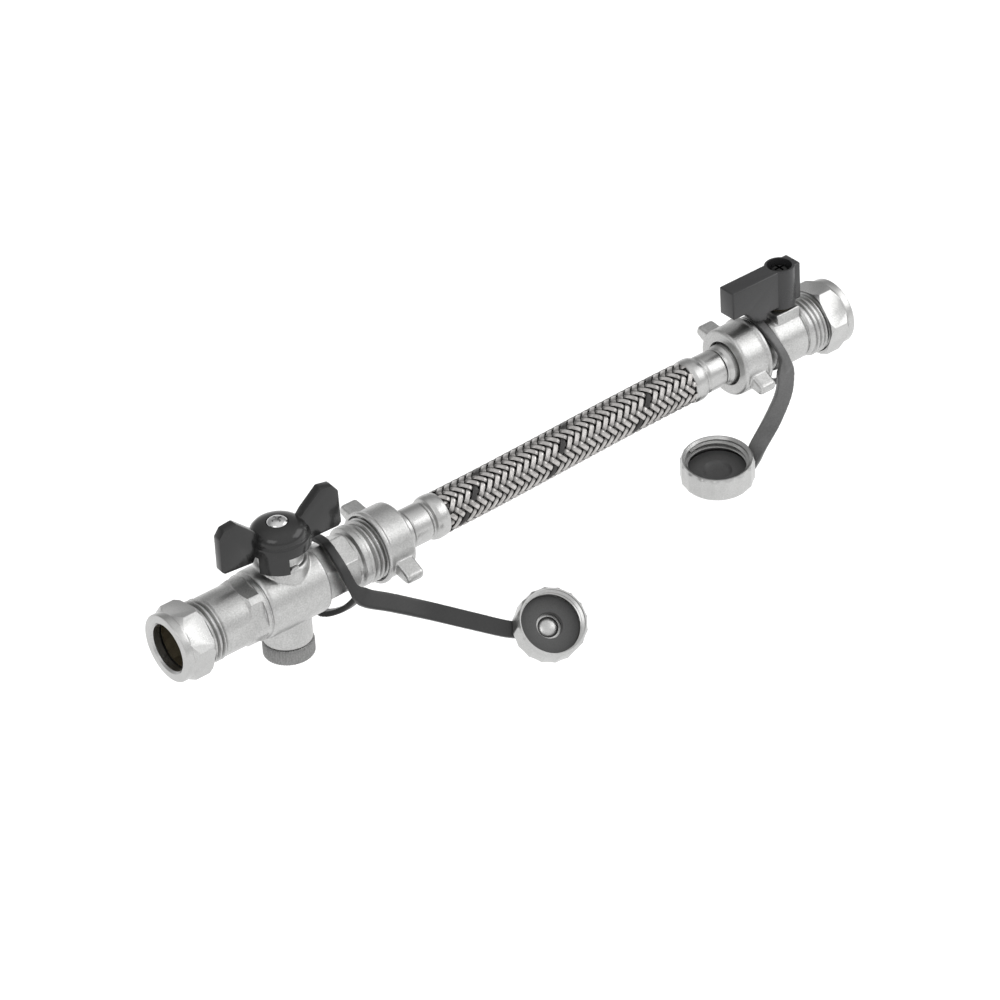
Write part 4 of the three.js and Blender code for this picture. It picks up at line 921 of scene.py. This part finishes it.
# %% Lever
def lever():
    outline = [(-23.2, 17.3), (-17.9, 17.3), (-17.2, 16.6), (-14.2, 13.1), (-12.3, 11.6), (-9.0, 11.55),
               (-8.45, 12.1), (-8.3, 13.4), (-7.6, 13.7), (6.2, 13.7), (6.2, 27.45), (-23.2, 27.45)]
    bar = plate(outline, -3.5, 3.5, 0.6)
    hub = turned_up(rounded([(12.85, 0), (12.85, 5.1), (27.45, 5.1), (27.45, 0)], 0.4), 0, 64)
    body = combine(bar, "UNION", hub, crease=30)
    body = combine(body, "DIFFERENCE", rod(0, 0, 24.5, 30, 4.2), rod(0, 0, 12, 25, 1.9), crease=30)
    return moved(body, Matrix.Translation((FAR_STEM_X, 0, RISE)))


piece(lever(), "lever_piece", "far_lever", MATT, "lever")

# %% [markdown]
# ## Blanking caps
# A turned cup whose side is scalloped for grip, with nearly two turns of thread inside. The scallops are
# pulled into the side of the blank, so they stay smooth. A rivet holds the strap's eye.

# %% Blanking caps
FLUTES = 16
FLUTE_DEPTH = 0.34


def cap_place(x, y, z, mouth):
    """Puts a cap with its closed face at the origin and its mouth up to where it hangs."""
    turn = Vector((0, 0, 1)).rotation_difference(Vector(mouth)).to_matrix().to_4x4()
    return Matrix.Translation((x, y, z)) @ turn


def cap(radius, sunk):
    """A cup with concave flutes that meet in points under a turned lip; sunk lowers the rivet's dome."""
    cup = turned_up([
        (0, 0), (0, radius - 1.6), (0.35, radius - 0.8), (1.2, radius), (8.0, radius), (8.3, radius - 0.15),
        (8.55, radius - 0.5), (9, radius - 0.75), (9, radius - 1.1), (8.3, 10.6), (1.9, 10.6), (1.9, 0)],
        steps=FLUTES * 12, crease=40)
    for v in cup.data.vertices:
        out = math.hypot(v.co.x, v.co.y)
        if out > radius - 0.3:
            across = (math.atan2(v.co.y, v.co.x) * FLUTES / (2 * math.pi)) % 1 * 2 - 1
            pull = 1 - FLUTE_DEPTH * (1 - across * across) / out
            v.co.x *= pull
            v.co.y *= pull
    groove = moved(thread(3.4, 8.2, 10.8, 9.75), UPRIGHT)
    rivet = rounded([(0.5, 0), (0.5, 2), (-2.6, 2), (-2.6, 3.2), (-3.4, 2.8), (-3.4, 0)], 0.3)
    stud = turned_up(rivet, 0, 48)
    dome = turned_up([(1.5, 0), (1.5, 3.5), (1.95, 3.4), (2.5, 2.7), (2.85, 1.6), (3, 0)], 0, 48)
    dome = lifted(dome, -sunk)
    return gather(cup, groove, stud, dome)


def cap_washer(open_middle):
    """A flat rubber ring, or a disc with a dimple."""
    if open_middle:
        return turned_up(rounded([(2.2, 4.2), (2.2, 9.8), (4.1, 9.8), (4.1, 4.2)], 0.35))
    return turned_up(rounded([
        (2.2, 0), (2.2, 10.35), (3.9, 10.2), (3.9, 4.9), (3.0, 4.1), (2.4, 2.2), (2.3, 0)], 0.2))


NEAR_CAP = cap_place(111.4, -46.1, -23.4, (-0.17, -0.63, 0.75))
FAR_CAP = cap_place(218.3, -4.8, -37.0, (-0.05, -0.08, 1))
for side, place, radius, sunk in (("near", NEAR_CAP, 11.5, 0), ("far", FAR_CAP, 12.5, 0.9)):
    body = side + "_blanking_cap"
    piece(moved(cap(radius, sunk), place), side + "_cap_piece", body, TURNED, side + "_cap")
    washer = moved(cap_washer(side == "near"), place)
    piece(washer, side + "_cap_washer_piece", body, RUBBER, side + "_cap_washer")

# %% [markdown]
# ## Lines and ribbons
# A strap is drawn as a few points and a smooth line through them. A small face is carried along that line,
# turned and widened on the way, which makes a flat ribbon that can also close on itself.

# %% Lines and ribbons
def smooth_line(points, per_gap, closed=False):
    """A smooth line through all the points."""
    points = [Vector(p) for p in points]
    count = len(points)
    out = []
    for i in range(count if closed else count - 1):
        p0, p1, p2, p3 = (points[(i + k) % count] if closed else points[max(0, min(count - 1, i + k))]
                          for k in (-1, 0, 1, 2))
        for s in range(per_gap):
            t = s / per_gap
            out.append(0.5 * (2 * p1 + (p2 - p0) * t + (2 * p0 - 5 * p1 + 4 * p2 - p3) * t ** 2
                              + (3 * p1 - p0 - 3 * p2 + p3) * t ** 3))
    out.append(points[0] if closed else points[-1])
    return out


def ribbon(line, across, width, thickness):
    """Extrudes a small face along a line; across and width are given for each share of the way."""
    last = len(line) - 1

    def corners(k):
        ahead = (line[min(k + 1, last)] - line[max(k - 1, 0)]).normalized()
        side = across(k / last)
        side = (side - ahead * side.dot(ahead)).normalized()
        up = ahead.cross(side)
        w, h = width(k / last) / 2, thickness / 2
        return [line[k] + side * (u * w) + up * (v * h) for u, v in ((-1, -1), (1, -1), (1, 1), (-1, 1))]

    bm = bmesh.new()
    face = bm.faces.new([bm.verts.new(p) for p in corners(0)])
    for k in range(1, last + 1):
        ring = bmesh.ops.extrude_face_region(bm, geom=[face])
        face = next(f for f in ring["geom"] if isinstance(f, bmesh.types.BMFace))
        for vert, place in zip(face.verts, corners(k)):
            vert.co = place
    return shape(bm)


print("Lines and ribbons are ready")

# %% [markdown]
# ## The near strap
# A strap is one moulding: a loose loop round the neck of the valve, a flat tongue, and an eye that the
# cap's rivet holds. Loop and tongue are ribbons. Melting them together gives the web where they fork.

# %% The near strap
STRAP_THICK = 1.9
LOOP_WIDE = 3.1


def strap(loop, tongue, first_across, place, width, fork):
    """Loop, tongue and eye in one; fork is how far along the tongue it starts to widen to its full width."""
    ring = ribbon(smooth_line(loop, 8, True), lambda t: Vector((1, 0, 0)), lambda t: LOOP_WIDE, STRAP_THICK)
    normal = (place.to_3x3() @ Vector((0, 0, 1))).normalized()
    end = place @ Vector((0, 0, -1.3))
    inward = end - Vector(tongue[-1])
    inward = (inward - normal * inward.dot(normal)).normalized()
    line = smooth_line([*tongue, end - inward * 4.3], 8)
    last_across = normal.cross(inward)

    def across(t):
        early = min(1, max(0, t - 0.12) / 0.25)
        return Vector((1, 0, 0)).lerp(Vector(first_across), early).lerp(last_across, t)

    def wide(t):
        return min(LOOP_WIDE + 26 * max(0, t - fork), width * (1.15 - 0.2 * t))

    flat = ribbon(line, across, wide, STRAP_THICK)
    eye = moved(turned_up([(-2.25, 0), (-2.25, 5.3), (-0.35, 5.3), (-0.35, 0)], 0, 48), place)
    skin = fuse(gather(ring, flat, eye), 0.28, 12)
    hole = moved(rod(0, 0, -4, 1, 2.3), place)
    return combine(skin, "DIFFERENCE", hole, crease=50)


near_loop = [(61, 0, 11.05), (60.4, -9, 7.4), (62, -13, -0.5), (63.8, -12.4, -5.4), (61.4, -7.2, -11.6),
             (59, 1.5, -15.8), (58.6, 9.6, -11.2), (60, 13.2, -2), (60.8, 9, 7.4)]
near_tongue = [(60.4, -9, 7.4), (61.9, -13, -0.2), (65.2, -14.4, -5.2), (73.4, -16.9, -9.9),
               (84.5, -21.8, -16), (94, -31.5, -19.6), (101.5, -39.8, -22)]
near_strap = strap(near_loop, near_tongue, (0.2, 0.5, 0.84), NEAR_CAP, 5.5, 0.15)
piece(near_strap, "near_strap_piece", "near_tether", STRAP, "near_strap")

# %% [markdown]
# ## The far strap
# This loop is worn round a neck, so its points are given round the axis, with the slack that each one hangs
# out by. The strap is the same moulding in the same black plastic, with a painted sheen that makes it lighter
# grey.

# %% The far strap
def slung(start, radius, points):
    """Points of a slack loop: distance along from start, degrees round, and slack beyond the radius."""
    out = []
    for along, degrees, slack in points:
        r, a = radius + slack + 1, math.radians(degrees)
        out.append((start + along, -r * math.sin(a), r * math.cos(a)))
    return out


far_loop = slung(239.2, 8.6, [
    (2, 0, 0.35), (2.1, 45, 0.6), (3.4, 85.2, 2.45), (4.6, 112.6, 3.4), (3.8, 152.6, 3.45), (2.8, 193, 3.75),
    (2.2, 230, 3.45), (2, 270, 2.4), (2, 315, 0.6)])
far_tongue = [(242.4, -12, 1), (242.8, -12.2, -4.3), (242.9, -10.9, -13.7), (239.2, -9.2, -23.5),
              (233.6, -8.3, -31.5), (230.9, -7.4, -36.9), (226.6, -6.6, -40.9)]
up = Matrix.Translation((0, 0, RISE))
far_loop = [up @ Vector(p) for p in far_loop]
far_tongue = [up @ Vector(p) for p in far_tongue]
far_strap = strap(far_loop, far_tongue, (1, 0.2, 0), FAR_CAP, 5.6, 0.02)
# the far strap gets the black plastic with the painted sheen
piece(far_strap, "far_strap_piece", "far_tether", STRAP_PAINTED_LIGHT, "far_strap")

# %% [markdown]
# ## The camera
# The photograph looks down at about 34 degrees, from nearly a metre and a half away, with a long lens. The
# numbers were worked out from where the nuts, the stems and the hose ends lie in it.

# %% Camera
def photo_camera():
    around, above, roll = math.radians(36.99), math.radians(34.03), math.radians(3.62)
    right = Vector((math.cos(around), -math.sin(around), 0))
    ahead = Vector((math.sin(around), math.cos(around), 0))
    forward = ahead * math.cos(above) - Vector((0, 0, 1)) * math.sin(above)
    up = ahead * math.sin(above) + Vector((0, 0, 1)) * math.cos(above)
    x_axis = right * math.cos(roll) - up * math.sin(roll)
    y_axis = right * math.sin(roll) + up * math.cos(roll)
    focal, distance = 4.7899, 1.4651  # the lens in picture widths, the distance in metres
    origin_x, origin_y = -0.3336, 0.1789  # where the part's origin falls, from the picture's middle
    across, down = origin_x / focal * distance, origin_y / focal * distance
    place = -(x_axis * across - y_axis * down + forward * distance)
    data = bpy.data.cameras.new("camera")
    data.sensor_width = 36
    data.lens = focal * data.sensor_width
    data.shift_y = -0.03
    camera = add_object("camera", data)
    turn = Matrix((x_axis, y_axis, -forward)).transposed().to_4x4()
    camera.matrix_world = Matrix.Translation(place) @ turn
    bpy.context.scene.camera = camera
    return camera


camera = photo_camera()
print("Camera at", [round(c, 3) for c in camera.location])

# %% [markdown]
# ## The floor
# A white floor below the fitting takes a faint shadow. It glows where the camera or a reflection sees it,
# so it comes out white, and it lights the fitting no more than a plain floor would.

# %% Floor
MIDDLE = (0.13, 0, 0)  # of the fitting, in metres
FLOOR_GLOW = 0.34
FLOOR_LEVEL = -0.11
FLOOR_HALF = 6  # half of its side


def floor_material():
    material, nodes, links, shader = principled("floor_white")
    shader.inputs["Roughness"].default_value = 1
    shader.inputs["Specular IOR Level"].default_value = 0
    grain = nodes.new("ShaderNodeTexNoise")
    grain.inputs["Scale"].default_value = 3
    tone = two_tones(nodes, links, grain.outputs["Fac"], (0.86, 0.86, 0.86), (0.88, 0.88, 0.88))
    links.new(tone, shader.inputs["Base Color"])
    path = nodes.new("ShaderNodeLightPath")
    kinds = ("Camera", "Transmission", "Glossy")
    direct, through, mirrored = [path.outputs[f"Is {kind} Ray"] for kind in kinds]
    seen = calculate(nodes, links, "ADD", calculate(nodes, links, "ADD", direct, through), mirrored)
    seen.node.use_clamp = True
    glow = calculate(nodes, links, "MULTIPLY", seen, FLOOR_GLOW)
    shader.inputs["Emission Color"].default_value = (1, 1, 1, 1)
    links.new(glow, shader.inputs["Emission Strength"])
    return material


bm = bmesh.new()
bmesh.ops.create_grid(bm, x_segments=1, y_segments=1, size=FLOOR_HALF)
bmesh.ops.translate(bm, vec=(MIDDLE[0], 0, FLOOR_LEVEL), verts=bm.verts)
floor = add_object("floor", mesh_from(bm, "floor"))
floor.data.materials.append(floor_material())
print("Floor laid")

# %% [markdown]
# ## Lights and world
# Two large soft lamps stand in front, to the right and to the left. The world is bright overhead and in a
# band at the horizon, and grey behind, so that the metal has something to show.

# %% Lights and world
def soft_light(name, place, aim, size, watts):
    data = bpy.data.lights.new(name, "AREA")
    data.shape = "RECTANGLE"
    data.size, data.size_y = size
    data.energy = watts
    lamp = add_object(name, data)
    lamp.location = place
    lamp.rotation_euler = (Vector(aim) - Vector(place)).to_track_quat("-Z", "Y").to_euler()


soft_light("key_light", (1.08, -0.52, 0.75), MIDDLE, (1.1, 0.8), 4.8)
soft_light("left_light", (-0.9, -0.4, 0.9), MIDDLE, (0.7, 0.7), 2.5)


def studio_world():
    world = bpy.data.worlds.new("studio")
    bpy.context.scene.world = world
    world.use_nodes = True
    nodes, links = world.node_tree.nodes, world.node_tree.links
    where = nodes.new("ShaderNodeTexCoord")
    facing = nodes.new("ShaderNodeVectorMath")
    facing.operation = "DOT_PRODUCT"
    facing.inputs[1].default_value = (0, -0.5, 0.87)
    links.new(where.outputs["Generated"], facing.inputs[0])
    level = spread(nodes, links, facing.outputs["Value"], 0.25, 0.82, 0.42, 1.1)
    split = nodes.new("ShaderNodeSeparateXYZ")
    links.new(where.outputs["Generated"], split.inputs[0])
    low = spread(nodes, links, split.outputs["Z"], 0, 0.45, 0.95, 0.35)
    brighter = calculate(nodes, links, "MAXIMUM", level, low)
    links.new(brighter, nodes["Background"].inputs["Color"])


studio_world()
bpy.context.scene.view_settings.view_transform = "Standard"
print("Lit")
